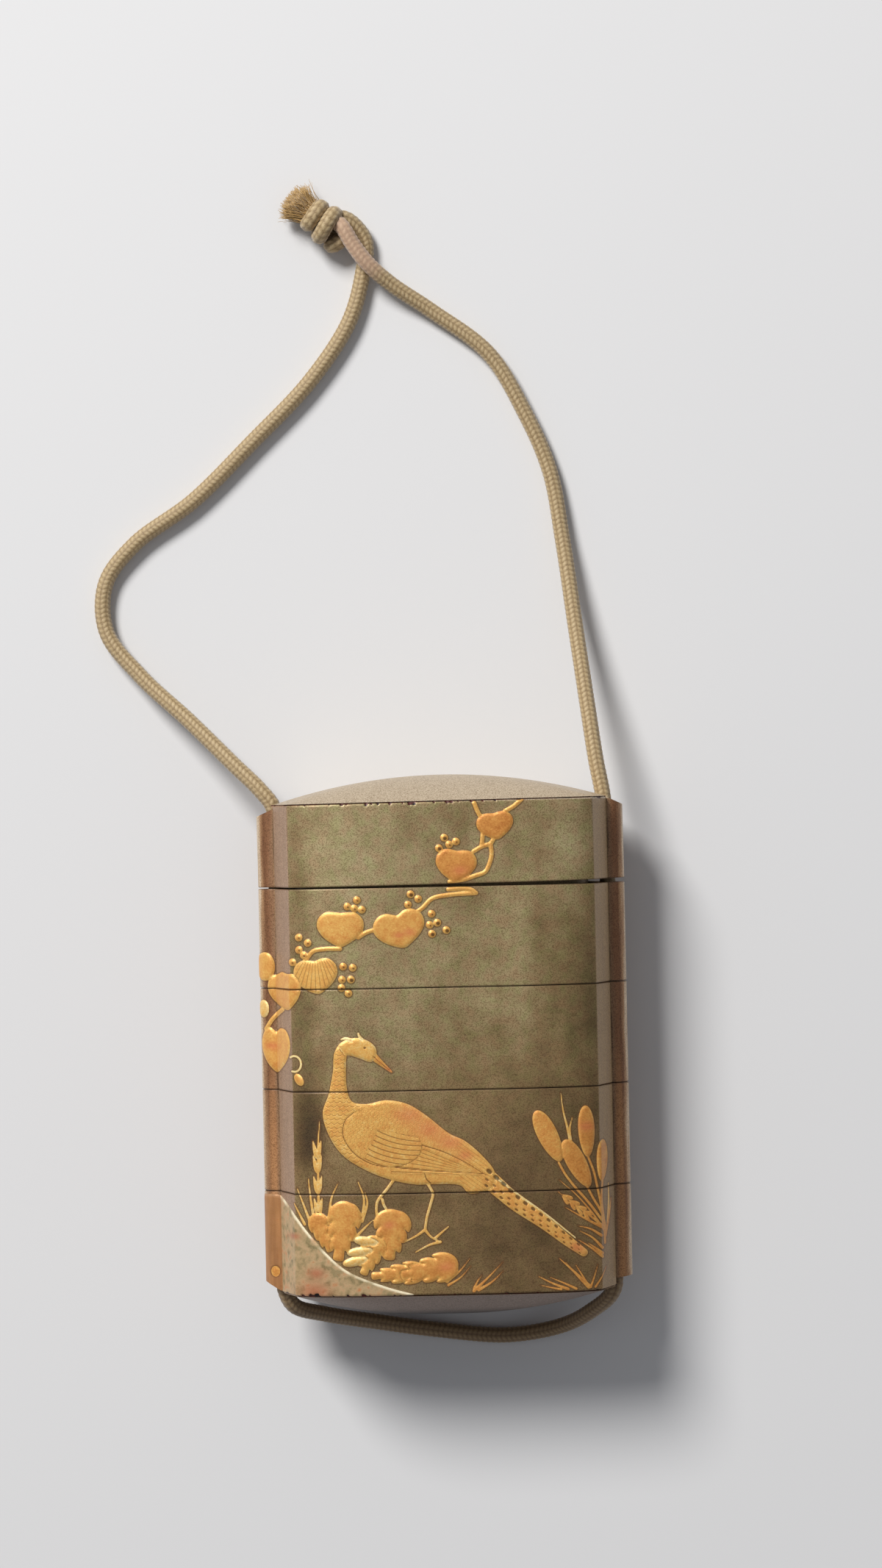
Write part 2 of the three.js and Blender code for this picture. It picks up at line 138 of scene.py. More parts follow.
# %% Route of the cord
CORD_DIAMETER = 2.4 * MM
CORD_ROUTE = [
    (-11.6, 122.8, 2.2), (-9.4, 119.9, 1.35), (-9.9, 114.9, 1.28), (-12.1, 107.8, 1.28),
    (-18.1, 99.1, 1.28), (-26.8, 90.3, 1.28), (-36.0, 81.5, 1.28), (-44.9, 75.2, 1.28),
    (-49.3, 69.4, 1.3), (-49.3, 62.2, 1.6), (-44.2, 55.4, 3.2), (-37.0, 48.6, 6.6),
    (-30.2, 41.8, 10.1), (-26.4, 38.0, 11.7), (-24.6, 35.5, 12.0), (-24.4, 32.0, 12.0),
    (-24.4, -32.0, 12.0), (-24.3, -35.6, 12.0), (-23.1, -38.1, 11.0), (-18.7, -39.9, 7.0),
    (-11.5, -41.6, 2.8), (-2.0, -43.2, 1.35), (8.4, -44.2, 1.4), (16.2, -42.9, 3.1),
    (20.9, -40.2, 7.8), (24.2, -36.6, 11.8), (24.4, -32.0, 12.0), (24.4, 32.0, 12.0),
    (24.1, 36.2, 11.9), (23.2, 41.5, 11.3), (22.2, 49.5, 9.2), (20.7, 62.0, 5.1),
    (19.2, 74.5, 2.2), (17.5, 84.9, 1.35), (13.9, 93.8, 1.28), (8.7, 102.7, 1.28),
    (0.2, 109.3, 1.4), (-5.7, 113.3, 2.6), (-9.2, 116.4, 3.9), (-11.2, 119.1, 4.3),
    (-12.8, 121.8, 4.4),
]
ROUTE_SAMPLES = 60
RING_STEP = 0.18 * MM
TUCKED_START = [(-14.0, 122.9, 2.9), (-13.2, 123.3, 2.7)]
TUCKED_END = [(-14.2, 123.0, 3.5)]


def smooth_line(points, samples):
    """A smooth line through the points, with that many samples between each two of them."""
    p = np.asarray(points, float)
    p = np.vstack([2 * p[0] - p[1], p, 2 * p[-1] - p[-2]])
    share = np.linspace(0, 1, samples, endpoint=False)[:, None]
    spans = []
    for a, b, c, d in zip(p[:-3], p[1:-2], p[2:-1], p[3:]):
        ab, bc, cd = (np.linalg.norm(v) ** 0.5 for v in (b - a, c - b, d - c))
        start = ((b - a) / ab - (c - a) / (ab + bc) + (c - b) / bc) * bc
        end = ((c - b) / bc - (d - b) / (bc + cd) + (d - c) / cd) * bc
        spans.append(
            b + start * share
            + (3 * (c - b) - 2 * start - end) * share**2
            + (2 * (b - c) + start + end) * share**3
        )
    return np.vstack([*spans, p[-2:-1]])


def even_steps(line, step):
    """The same line with its points about one step apart, and each point's distance along it."""
    along = np.concatenate([[0], np.cumsum(np.linalg.norm(np.diff(line, axis=0), axis=1))])
    count = max(2, round(along[-1] / step))
    wanted = np.linspace(0, along[-1], count + 1)
    return np.column_stack([np.interp(wanted, along, axis) for axis in line.T]), wanted


whole_route = TUCKED_START + CORD_ROUTE + TUCKED_END
cord_line, cord_along = even_steps(smooth_line(whole_route, ROUTE_SAMPLES) * MM, RING_STEP)
CORD_LENGTH = float(cord_along[-1])
print("cord:", round(CORD_LENGTH / MM, 1), "mm long,", len(cord_line), "rings")

# %% [markdown]
# ## Braiding the cord
# A round braid of eight strands shows as columns of small V stitches. A plain round tube
# would look like wire, so the rings of the tube are moved in and out: each column leans
# the other way from its neighbour, and each stitch swells in its middle. Every point also
# keeps how high its stitch stands and its place along the cord, for the silk's colour.

# %% Stitches of the braid
COLUMNS = 8
SIDES = 32
STITCH_LENGTH = 0.74 * MM
STITCH_LEAN = 0.55
STITCH_DEPTH = 0.11 * MM
STITCH_FULLNESS = 0.94


def frames_along(line):
    """Two directions square to the line at each point, carried along without twisting."""
    tangents = np.gradient(line, axis=0)
    tangents /= np.linalg.norm(tangents, axis=1)[:, None]
    side = np.cross(tangents[0], (0, 0, 1))
    sides = []
    for tangent in tangents:
        side = side - tangent * (side @ tangent)
        side = side / np.linalg.norm(side)
        sides.append(side)
    sides = np.array(sides)
    return sides, np.cross(tangents, sides)


def stitch_height(turn, along):
    """0 in the gaps between the stitches and 1 on their crests."""
    column = turn * COLUMNS
    place = column - np.floor(column) - 0.5
    zigzag = np.abs(np.mod(column, 2) - 1)
    phase = along / STITCH_LENGTH + STITCH_LEAN * zigzag
    swell = np.abs(np.sin(np.pi * phase)) ** 0.6
    return swell * np.cos(np.pi * place * STITCH_FULLNESS) ** 0.5


print("stitches on one side of the cord:", round(CORD_LENGTH / STITCH_LENGTH) * COLUMNS // 2)

# %% Braided tube


def smooth_piece(name, points, faces):
    """A smoothly shaded mesh piece of those points and faces, with its faces turned outwards."""
    mesh = bpy.data.meshes.new(name)
    mesh.from_pydata(points.tolist(), [], faces)
    piece = bpy.data.objects.new(name, mesh)
    bpy.context.scene.collection.objects.link(piece)
    clear_selection()
    piece.select_set(True)
    bpy.context.view_layer.objects.active = piece
    bpy.ops.object.mode_set(mode="EDIT")
    bpy.ops.mesh.select_all(action="SELECT")
    bpy.ops.mesh.normals_make_consistent(inside=False)
    bpy.ops.object.mode_set(mode="OBJECT")
    bpy.ops.object.shade_smooth()
    return piece


def keep_number(mesh, name, values):
    """Keeps one number on each point of the mesh, for its material to read."""
    layer = mesh.attributes.new(name, "FLOAT", "POINT")
    layer.data.foreach_set("value", values.astype(np.float32).ravel())


def braided_tube(name, line, along):
    """One braided mesh tube along the line, closed at both ends."""
    across, up = frames_along(line)
    turn = np.arange(SIDES) / SIDES
    height = stitch_height(turn[None, :], along[:, None])
    radius = 0.5 * CORD_DIAMETER - STITCH_DEPTH * (1 - height)
    angle = 2 * np.pi * turn
    rings = (
        line[:, None, :]
        + radius[..., None] * np.cos(angle)[None, :, None] * across[:, None, :]
        + radius[..., None] * np.sin(angle)[None, :, None] * up[:, None, :]
    )
    rings[..., 2] = np.maximum(rings[..., 2], 0)
    count = len(line)
    index = np.arange(count * SIDES).reshape(count, SIDES)
    beside = np.roll(index, -1, axis=1)
    quads = np.stack([index[:-1], beside[:-1], beside[1:], index[1:]], axis=-1).reshape(-1, 4)
    faces = quads.tolist() + [index[0, ::-1].tolist(), index[-1].tolist()]
    piece = smooth_piece(name, rings.reshape(-1, 3), faces)
    keep_number(piece.data, "stitch", height)
    keep_number(piece.data, "along", np.repeat(along / MM, SIDES))
    return piece


cord = braided_tube("braided_cord", cord_line, cord_along)
print("braided cord:", len(cord.data.polygons), "faces")

# %% [markdown]
# ## The knot
# The two ends of the cord are knotted together. What shows is two turns of the same braid,
# wound square to the knot's axis and narrower towards the frayed ends, and the start of a
# third one below the strands. The whole knot could be tied along the route, but its inside
# never shows. So the turns are one braided tube along a coil that is tucked in at both
# ends. The coil leans back by as much as each visible half turn moves on.

# %% Turns of the knot
KNOT_ANGLE = math.radians(141.5)
KNOT_CENTRE = Vector((-15.3, 122.3, 3.3)) * MM
COIL_PITCH = 2.35 * MM
COIL_START = 2.0 * MM
WIDE_TURN = 2.1 * MM
NARROW_TURN = 1.55 * MM
COIL_LEAN = 0.5 * COIL_PITCH / (WIDE_TURN + NARROW_TURN)
COIL_HALF_TURNS = (-0.35, 4.25)
COIL_TUCK = 0.4
COIL_TUCK_OVER = 0.05
COIL_SAMPLES = 460
COIL_END = np.array((-3.6, -0.7, -1.2)) * MM
COIL_ENDING = 0.09


def knot_to_frame(points):
    """Turns points on the knot's own axes, X towards the frayed ends, into the frame."""
    x, y, z = np.asarray(points, float).T
    c, s = math.cos(KNOT_ANGLE), math.sin(KNOT_ANGLE)
    return np.column_stack([c * x - s * y, s * x + c * y, z]) + np.array(KNOT_CENTRE)


coil_turn = np.linspace(*COIL_HALF_TURNS, COIL_SAMPLES) * np.pi
moved_on = (coil_turn - 0.5 * np.pi) / (2 * np.pi)
share = np.linspace(0, 1, len(coil_turn))
tuck = 1 - COIL_TUCK * np.exp(-((share / COIL_TUCK_OVER) ** 2))
coil_radius = np.interp(moved_on, [0, 1], [NARROW_TURN, WIDE_TURN]) * tuck
coil_y = coil_radius * np.cos(coil_turn)
coil_z = coil_radius * np.sin(coil_turn)
coil_x = COIL_START - COIL_PITCH * moved_on - COIL_LEAN * coil_y
coil_points = np.column_stack([coil_x, coil_y, coil_z])
ending = np.clip((share - (1 - COIL_ENDING)) / COIL_ENDING, 0, 1)[:, None]
ending = ending**2 * (3 - 2 * ending)
coil_points += ending * (COIL_END - coil_points)
coil_line, coil_along = even_steps(knot_to_frame(coil_points), RING_STEP)
knot_turns = braided_tube("knot_turns", coil_line, coil_along)
print("turns of the knot:", round(coil_along[-1] / MM, 1), "mm of cord")

# %% [markdown]
# ## The frayed ends
# Past the knot the silk is cut and has opened into a brush of fine threads. Hair particles
# could draw it, but they are not mesh, so every thread is a thin three-sided tube, and all
# of them are one piece. They leave the knot together, bend outwards, curl a little and end
# at slightly different lengths.

# %% Frayed ends
THREADS = 1500
THREAD_RINGS = 7
THREAD_RADIUS = 0.08 * MM
THREAD_LENGTHS = (4.1 * MM, 5.4 * MM)
THREAD_CURL = 0.16 * MM
FRAY_START = 1.9 * MM
FRAY_WIDTH = 2.55 * MM
FRAY_HEIGHT = 2.0 * MM
FRAY_SAG = 0.7 * MM
ABOVE_TABLE = 0.2 * MM
rng = np.random.default_rng(7)


def frayed_threads():
    """Points and faces of all the threads, on the knot's own axes."""
    vertices, faces = [], []
    lowest = ABOVE_TABLE - KNOT_CENTRE.z
    for number in range(THREADS):
        root = rng.normal(0, 0.6 * MM, 2)
        turn = rng.uniform(0, 2 * np.pi)
        spread = rng.uniform(0, 1) ** 0.55
        reach = rng.uniform(*THREAD_LENGTHS) * (1 - 0.24 * spread**2)
        drift = rng.normal(0, 0.3 * MM, 2)
        wave = rng.uniform(0, 2 * np.pi)
        for ring in range(THREAD_RINGS):
            t = ring / (THREAD_RINGS - 1)
            opening = (0.7 * t + 0.3 * t**2) * spread
            curl = THREAD_CURL * t * math.sin(5 * t + wave)
            x = FRAY_START + t * reach
            y = root[0] + opening * FRAY_WIDTH * math.cos(turn) + drift[0] * t**2 + curl
            z = 0.8 * root[1] + opening * FRAY_HEIGHT * math.sin(turn) + drift[1] * t**2
            z = max(z - FRAY_SAG * t, lowest)
            thin = THREAD_RADIUS * (1 - 0.6 * t)
            for corner in range(3):
                c = turn + 2 * np.pi * corner / 3
                vertices.append((x, y + thin * math.cos(c), z + thin * math.sin(c)))
        base = number * THREAD_RINGS * 3
        for ring in range(THREAD_RINGS - 1):
            for corner in range(3):
                a = base + 3 * ring + corner
                b = base + 3 * ring + (corner + 1) % 3
                faces.append((a, b, b + 3, a + 3))
        faces.append((base + 2, base + 1, base))
        last = base + 3 * (THREAD_RINGS - 1)
        faces.append((last, last + 1, last + 2))
    return np.array(vertices), faces


thread_points, thread_faces = frayed_threads()
frayed_ends = smooth_piece("frayed_ends", knot_to_frame(thread_points), thread_faces)
keep_number(frayed_ends.data, "thread", np.repeat(rng.uniform(0, 1, THREADS), 3 * THREAD_RINGS))
print("frayed ends:", len(frayed_ends.data.polygons), "faces")

# %% [markdown]
# ## The cord on the case
# The three pieces of silk, the cord, its knot and its frayed ends, ride on the case together, and the
# imported cord and knot are hidden.

# %% Place the cord in the frame
for piece in (cord, knot_turns, frayed_ends):
    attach(piece, "root")
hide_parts("cord")
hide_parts("cord_knot")
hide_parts("cord_knot")
print("cord declared, leaving the knot at", CORD_ROUTE[0], "mm")

# %% [markdown]
# ## Section of the case
# Every section has the same outline: a flat oval with level faces, and a half-round
# runner down each side that hides the cord's channel. A crisp edge parts each face from a
# flat shoulder beside it. It could be drawn by hand as a curve, but formulas give the same
# outline to all five sections. It is a closed ring of points, close together at the front,
# where the raised picture needs them, and further apart at the back.

# %% Face and shoulders
THICKNESS = 24.0
MID = 0.5 * THICKNESS
HALF_WIDTH = 24.4
CROWN = 12.15
POWER = 4
RUNNER_X = 24.4
RUNNER_RADIUS = 2.6
FACE_EDGE = 22.3
FACE_EDGE_DROP = 2.7
SHOULDER_FOOT = (24.45, 3.4)
HALF_POINTS = 8000


def oval(inset, side_inset, count):
    """The case's oval section as [x, z] points in mm, drawn in by the two insets."""
    turn = 2 * np.pi * np.arange(count) / count
    c, s = np.cos(turn), np.sin(turn)
    x = np.sign(c) * np.abs(c) ** (2 / POWER) * (HALF_WIDTH - side_inset)
    z = np.sign(s) * np.abs(s) ** (2 / POWER) * (CROWN - inset)
    level = MID - inset
    return np.column_stack([x, MID + np.clip(z, -level, level)])


def shouldered(points):
    """Points moved onto the section, which has a crisp edge and a flat shoulder at each side."""
    reach, side = np.abs(points[:, 0]), np.sign(points[:, 1] - MID)
    face = MID - FACE_EDGE_DROP * (reach / FACE_EDGE) ** 5
    foot_x, foot_z = SHOULDER_FOOT
    share = np.clip((reach - FACE_EDGE) / (foot_x - FACE_EDGE), 0, 1)
    shoulder = (MID - FACE_EDGE_DROP) * (1 - share) + foot_z * share
    height = np.where(reach < FACE_EDGE, face, shoulder)
    return np.column_stack([points[:, 0], MID + side * np.minimum(height, MID)])


def section_halves():
    """The upper half from right to left and the lower half back, as [x, z] points in mm."""
    reach = np.linspace(SHOULDER_FOOT[0], -SHOULDER_FOOT[0], HALF_POINTS)
    upper = shouldered(np.column_stack([reach, np.full(len(reach), MID + 1)]))
    return upper, (upper * (-1, -1)) + (0, 2 * MID)


print("edge of the face", FACE_EDGE, "mm out and", FACE_EDGE_DROP, "mm down")

# %% Outline of the case
FINE_STEP = 0.02
FRONT_STEP = 0.165
BACK_STEP = 0.55
FRONT_BEGINS = MID - 1.5
CREASE_ROUNDING = 0.24
ARC_POINTS = 800


def plain_ring(inset, count):
    """The section without its runners as a ring of even points, drawn in by the inset."""
    upper, lower = section_halves()
    ring = np.vstack([upper, lower, upper[:1]])
    perimeter = np.linalg.norm(np.diff(ring, axis=0), axis=1).sum()
    ring, _ = even_steps(ring, perimeter / count)
    return (ring[:-1] - (0, MID)) * (1 - inset / HALF_WIDTH, 1 - inset / MID) + (0, MID)


def case_outline():
    """The outline with its runners, resampled to the front and back steps, in mm."""
    points = np.vstack(section_halves())
    angle = np.linspace(-0.5 * np.pi, 0.5 * np.pi, ARC_POINTS)
    arc = RUNNER_RADIUS * np.column_stack([np.cos(angle), np.sin(angle)]) + (RUNNER_X, MID)
    near = np.hypot(np.abs(points[:, 0]) - RUNNER_X, points[:, 1] - MID) < RUNNER_RADIUS
    upper = points[(points[:, 1] > MID) & ~near]
    lower = points[(points[:, 1] < MID) & ~near]
    upper = upper[np.argsort(-upper[:, 0], kind="stable")]
    lower = lower[np.argsort(lower[:, 0], kind="stable")]
    left_arc = arc[::-1] * (-1, 1)
    line = np.vstack([arc, upper, left_arc, lower, arc[:1]])
    line, _ = even_steps(line, FINE_STEP)
    line = line[:-1]
    width = round(CREASE_ROUNDING / FINE_STEP)
    kernel = np.hanning(2 * width + 3)[1:-1]
    kernel /= kernel.sum()
    padded_line = np.vstack([line[-2 * width :], line, line[: 2 * width]])
    line = np.column_stack(
        [np.convolve(axis, kernel, "same")[2 * width : -2 * width] for axis in padded_line.T]
    )
    step = np.where(line[:, 1] > FRONT_BEGINS, FRONT_STEP, BACK_STEP)
    travelled = np.cumsum(FINE_STEP / step)
    count = int(travelled[-1])
    picks = np.searchsorted(travelled, (np.arange(count) + 0.5) * travelled[-1] / count)
    return line[picks]


outline = case_outline()
print("outline:", len(outline), "points, from", outline.min(0), "to", outline.max(0))

# %% [markdown]
# ## Turning the outline into closed blocks
# A section starts as one flat face on the outline, which is pulled up in stages: a narrow
# bevel, the wall, and a second bevel. Each stage is an extrusion, and a bevel is an
# extrusion drawn in towards the axis. The wall is then cut into level rows by subdividing
# its upright edges, so that the picture can be raised on it. Hollows and risers are blocks
# of the same kind.

# %% Blocks


def block(name, points, y):
    """A flat face on the [x, z] points in mm at height y, in edit mode, ready to be pulled up."""
    clear_selection()
    bpy.ops.mesh.primitive_circle_add(vertices=len(points), radius=1, fill_type="NGON")
    piece = bpy.context.object
    piece.name = name
    places = np.column_stack([points[:, 0], np.full(len(points), y), points[:, 1]])
    piece.data.vertices.foreach_set("co", (places * MM).ravel())
    bpy.ops.object.mode_set(mode="EDIT")
    bpy.ops.mesh.select_all(action="SELECT")
    return piece


def pull(rise, scale=1.0):
    """Extrudes the selected face along the stack and draws it in or out about the axis."""
    bpy.ops.mesh.extrude_region_move(TRANSFORM_OT_translate={"value": (0, rise * MM, 0)})
    if scale != 1.0:
        bpy.ops.transform.resize(value=(scale, 1, scale), center_override=(0, 0, MID * MM))


def close():
    """Ends the edit of a block, with its faces turned outwards."""
    bpy.ops.mesh.select_all(action="SELECT")
    bpy.ops.mesh.normals_make_consistent(inside=False)
    bpy.ops.object.mode_set(mode="OBJECT")


def cut_rows(piece, wall_height, rows):
    """Cuts the upright wall edges of that height into level rows."""
    bpy.ops.mesh.select_mode(type="EDGE")
    bpy.ops.mesh.select_all(action="DESELECT")
    mesh = bmesh.from_edit_mesh(piece.data)
    for edge in mesh.edges:
        rise = abs(edge.verts[0].co.y - edge.verts[1].co.y)
        edge.select_set(abs(rise - wall_height * MM) < 1e-6)
    bmesh.update_edit_mesh(piece.data)
    bpy.ops.mesh.subdivide(number_cuts=rows - 1)
    bpy.ops.mesh.select_mode(type="VERT")


def combine(piece, other, operation):
    """Joins another block to a piece or cuts it away, and removes that block."""
    clear_selection()
    piece.select_set(True)
    bpy.context.view_layer.objects.active = piece
    step = piece.modifiers.new("shape", "BOOLEAN")
    step.operation = operation
    step.solver = "MANIFOLD"
    step.object = other
    bpy.ops.object.modifier_apply(modifier=step.name)
    bpy.data.objects.remove(other)


print("blocks are pulled up from", len(outline), "points")

# %% [markdown]
# ## The five sections
# Each box has a thin wall, a floor, and a riser that stands above its mouth. The section
# above slips over that riser, so a shallow recess lies under each floor. The lid has only
# the recess. The lid and the lowest box end in low domes. The lid sits slightly open on
# the right, as a worn lid does.

# %% Sizes of the sections
RIM = 35.8
LID_HEIGHT = 12.0
BOX_COUNT = 4
BOX_PITCH = (2 * RIM - LID_HEIGHT) / BOX_COUNT
LID_SEAM = RIM - LID_HEIGHT
LID_TURN = 0.42  # degrees
LID_PIVOT = (-(RUNNER_X + RUNNER_RADIUS), LID_SEAM)
DOME_RISE = 3.8
SEAM_HALF = 0.06
LID_LOWER_EDGE = -0.1
FIRST_BOX_TOP = -0.32
EDGE_RISE = 0.1
EDGE_SCALE = 1 - 0.0035
RIM_EDGE = 0.28
RIM_SCALE = 1 - 0.009

SIDE_WALL = 2.5
FACE_WALL = 1.35
FIT_GAP = 0.3
RISER_WALL = 1.1
RISER_HEIGHT = 4.2
RECESS_DEPTH = RISER_HEIGHT + 0.5
FLOOR = 1.3
ROOF = 1.5
RISER_EDGE = 0.15
CUT_MARGIN = 1.0
HOLLOW_POINTS = 160
HOLLOW_RINGS = 8
DOME_POINTS = 320
DOME_RINGS = 30
DOME_INSET = 0.14
DOME_ROOT = 1.2


def walled_oval(beyond_wall):
    """The oval inside the outer wall, drawn in by a further distance."""
    return oval(FACE_WALL + beyond_wall, SIDE_WALL + beyond_wall, HOLLOW_POINTS)


def seam_above(number):
    """Height of the seam above a box. The boxes are numbered from 1, from the top down."""
    return LID_SEAM - (number - 1) * BOX_PITCH


def wall_span(number):
    """Lowest and highest level of a section's outer wall, in mm. Section 0 is the lid."""
    if number == 0:
        return LID_SEAM + LID_LOWER_EDGE, RIM
    bottom = -RIM if number == BOX_COUNT else seam_above(number + 1) + SEAM_HALF
    return bottom, seam_above(number) + (FIRST_BOX_TOP if number == 1 else -SEAM_HALF)


recess_outline = walled_oval(0)
riser_outline = walled_oval(FIT_GAP)
hollow_outline = walled_oval(FIT_GAP + RISER_WALL)
dome_outline = plain_ring(DOME_INSET, DOME_POINTS)
print("seams at", [round(seam_above(number), 2) for number in range(1, BOX_COUNT + 1)], "mm")

# %% [markdown]
# ## Walls and domes
# On the real case a section's wall is thin wood or layers of paper under the lacquer, and a
# dome is one piece with its wall. Here a wall is a block between two bevels. A part of a
# sphere would not fit the oval, so a dome is pulled up ring by ring, each ring drawn in as
# its curve asks, and its last ring is merged to a point.

# %% Walls and domes


def wall_block(name, bottom, top, bottom_edge, top_edge):
    """The outer wall as a solid block. An edge is (rise, scale) of its bevel."""
    drawn_in = (outline - (0, MID)) * bottom_edge[1] + (0, MID)
    piece = block(name, drawn_in, bottom)
    pull(bottom_edge[0], 1 / bottom_edge[1])
    height = top - bottom - bottom_edge[0] - top_edge[0]
    pull(height)
    pull(top_edge[0], top_edge[1])
    cut_rows(piece, height, round(height / FRONT_STEP))
    close()
    return piece


def dome_block(points, foot, drop, rings, direction):
    """A block from the height foot that ends in the dome's curve, drop below it."""
    piece = block("dome", points, direction * foot)
    reach = points[:, 0].max() / HALF_WIDTH
    height = foot
    last_share = 1.0
    for k in range(rings):
        share = math.cos(0.5 * math.pi * k / rings)
        level = RIM - drop + DOME_RISE * (1 - (share * reach) ** 2)
        pull(direction * (level - height), share / last_share)
        height = level
        last_share = share
    bpy.ops.mesh.extrude_region_move(
        TRANSFORM_OT_translate={"value": (0, direction * (RIM - drop + DOME_RISE - height) * MM, 0)}
    )
    bpy.ops.mesh.merge(type="CENTER")
    close()
    return piece


def straight_block(points, bottom, top, edge=0.0):
    """A block with upright sides and, where an edge is given, a bevel at its top."""
    piece = block("straight", points, bottom)
    pull(top - bottom - edge)
    if edge:
        pull(edge, 1 - edge / MID)
    close()
    return piece


print("domes rise", DOME_RISE, "mm in", DOME_RINGS, "rings")

# %% [markdown]
# ## Runners and channels
# Each runner ends a little short of the rims in a slope, and the cord's channel is bored
# through it from end to end. Both are cuts: a turned cube takes off the slope, and a long
# cylinder bores the channel.

# %% Runner ends and channels
BORE_RADIUS = 1.65
BORE_SIDES = 40
CUTTER_SIZE = 8.0
RUNNER_ROOT = RUNNER_X + 0.1
RUNNER_ENDS = {
    # side, end: how far the runner stops short of the rim beside the case and outside, in mm
    (-1, 1): (0.6, 1.7), (1, 1): (0.1, 1.3), (-1, -1): (0.1, 1.6), (1, -1): (1.1, 1.4),
}


def runner_end_block(side, end, inner_drop, outer_drop):
    """What is cut off a runner's end, which slopes away from the case and stops short of it."""
    inner = Vector((side * RUNNER_ROOT, end * (RIM - inner_drop), MID))
    outer = Vector((side * (RUNNER_X + RUNNER_RADIUS), end * (RIM - outer_drop), MID))
    slope = math.atan2(outer.y - inner.y, outer.x - inner.x)
    slope -= math.pi if side < 0 else 0
    along = Vector((math.cos(slope), math.sin(slope), 0)) * side
    away = Vector((-math.sin(slope), math.cos(slope), 0)) * end
    clear_selection()
    bpy.ops.mesh.primitive_cube_add(
        size=CUTTER_SIZE * MM,
        location=(inner + 0.5 * CUTTER_SIZE * (along + away)) * MM,
        rotation=(0, 0, slope),
    )
    piece = bpy.context.object
    bpy.ops.object.transform_apply(location=True, rotation=True, scale=True)
    return piece


def bore_block(side):
    """The channel of one side as a solid rod, longer than the case."""
    clear_selection()
    bpy.ops.mesh.primitive_cylinder_add(
        vertices=BORE_SIDES,
        radius=BORE_RADIUS * MM,
        depth=(2 * RIM + 4 * DOME_RISE) * MM,
        location=(side * RUNNER_X * MM, 0, MID * MM),
        rotation=(0.5 * math.pi, 0, 0),
    )
    piece = bpy.context.object
    bpy.ops.object.transform_apply(location=True, rotation=True, scale=True)
    return piece


print("channels of", 2 * BORE_RADIUS, "mm")

# %% [markdown]
# ## Putting a section together
# Every section is its wall block with the rest joined on or cut away. A hollow cut last
# leaves walls, floors and roofs of their true thickness. The boolean steps are applied at
# once, so that each section is plain mesh before the picture is raised on it.

# %% Sections


def make_section(number):
    """Section 0 is the lid, and 1 to BOX_COUNT are the boxes from the top down."""
    is_lid = number == 0
    is_bottom = number == BOX_COUNT
    bottom, top = wall_span(number)
    riser_top = seam_above(number) + RISER_HEIGHT
    plain_edge = (EDGE_RISE, EDGE_SCALE)
    rim_edge = (RIM_EDGE, RIM_SCALE)
    piece = wall_block(
        "lacquered_lid" if is_lid else f"lacquered_box_{number}",
        bottom,
        top,
        rim_edge if is_bottom else plain_edge,
        rim_edge if is_lid else plain_edge,
    )
    if is_lid:
        combine(piece, dome_block(dome_outline, RIM - DOME_ROOT, 0, DOME_RINGS, 1), "UNION")
        cut = dome_block(recess_outline, bottom - CUT_MARGIN, ROOF, HOLLOW_RINGS, 1)
        combine(piece, cut, "DIFFERENCE")
    else:
        if is_bottom:
            combine(piece, dome_block(dome_outline, RIM - DOME_ROOT, 0, DOME_RINGS, -1), "UNION")
        riser = straight_block(riser_outline, top - CUT_MARGIN, riser_top, RISER_EDGE)
        combine(piece, riser, "UNION")
    if is_bottom:
        cut = dome_block(hollow_outline, -(riser_top + CUT_MARGIN), ROOF, HOLLOW_RINGS, -1)
        combine(piece, cut, "DIFFERENCE")
    elif not is_lid:
        recess_top = seam_above(number + 1) + RECESS_DEPTH
        recess = straight_block(recess_outline, bottom - CUT_MARGIN, recess_top)
        combine(piece, recess, "DIFFERENCE")
        hollow = straight_block(hollow_outline, recess_top + FLOOR, riser_top + CUT_MARGIN)
        combine(piece, hollow, "DIFFERENCE")
    for side in (-1, 1):
        combine(piece, bore_block(side), "DIFFERENCE")
        for end in [1] * is_lid + [-1] * is_bottom:
            cut = runner_end_block(side, end, *RUNNER_ENDS[side, end])
            combine(piece, cut, "DIFFERENCE")
    return piece


sections = [make_section(number) for number in range(BOX_COUNT + 1)]
for piece in sections:
    print(piece.name, len(piece.data.polygons), "faces")

# %% [markdown]
# ## Drawing the raised picture
# The picture shows a long-tailed bird on a bank with plants, below a fruiting branch. On
# the real case its figures are built up in thick lacquer and dusted with gold. They are
# drawn as closed outlines and as bands along smooth lines, all in mm on the front face.
# For any point of the face each figure gives its depth: how far inside its edge the
# point lies. Depth sets how high the lacquer stands and where the gold begins. An image
# would be quicker to paint, but one drawing both shapes the mesh and colours it this way,
# and its edges stay sharp close up.

# %% Outlines and bands


def turned(points, x, y, degrees):
    """Points turned about their origin and moved to x, y."""
    c, s = math.cos(math.radians(degrees)), math.sin(math.radians(degrees))
    points = np.asarray(points, float)
    return np.column_stack([
        x + c * points[:, 0] - s * points[:, 1],
        y + s * points[:, 0] + c * points[:, 1],
    ])


def closed_curve(points, samples=10):
    """A smooth closed outline through the points."""
    p = np.asarray(points, float)
    wrapped = np.vstack([p[-2:], p, p[:3]])
    line = smooth_line(wrapped, samples)
    return line[2 * samples : -3 * samples]


LEAF_HALF = [
    (0.0, 0.40), (0.16, 0.47), (0.33, 0.45), (0.47, 0.27), (0.49, 0.02), (0.38, -0.22),
    (0.18, -0.42),
]
LEAF_TIP = (0.02, -0.52)


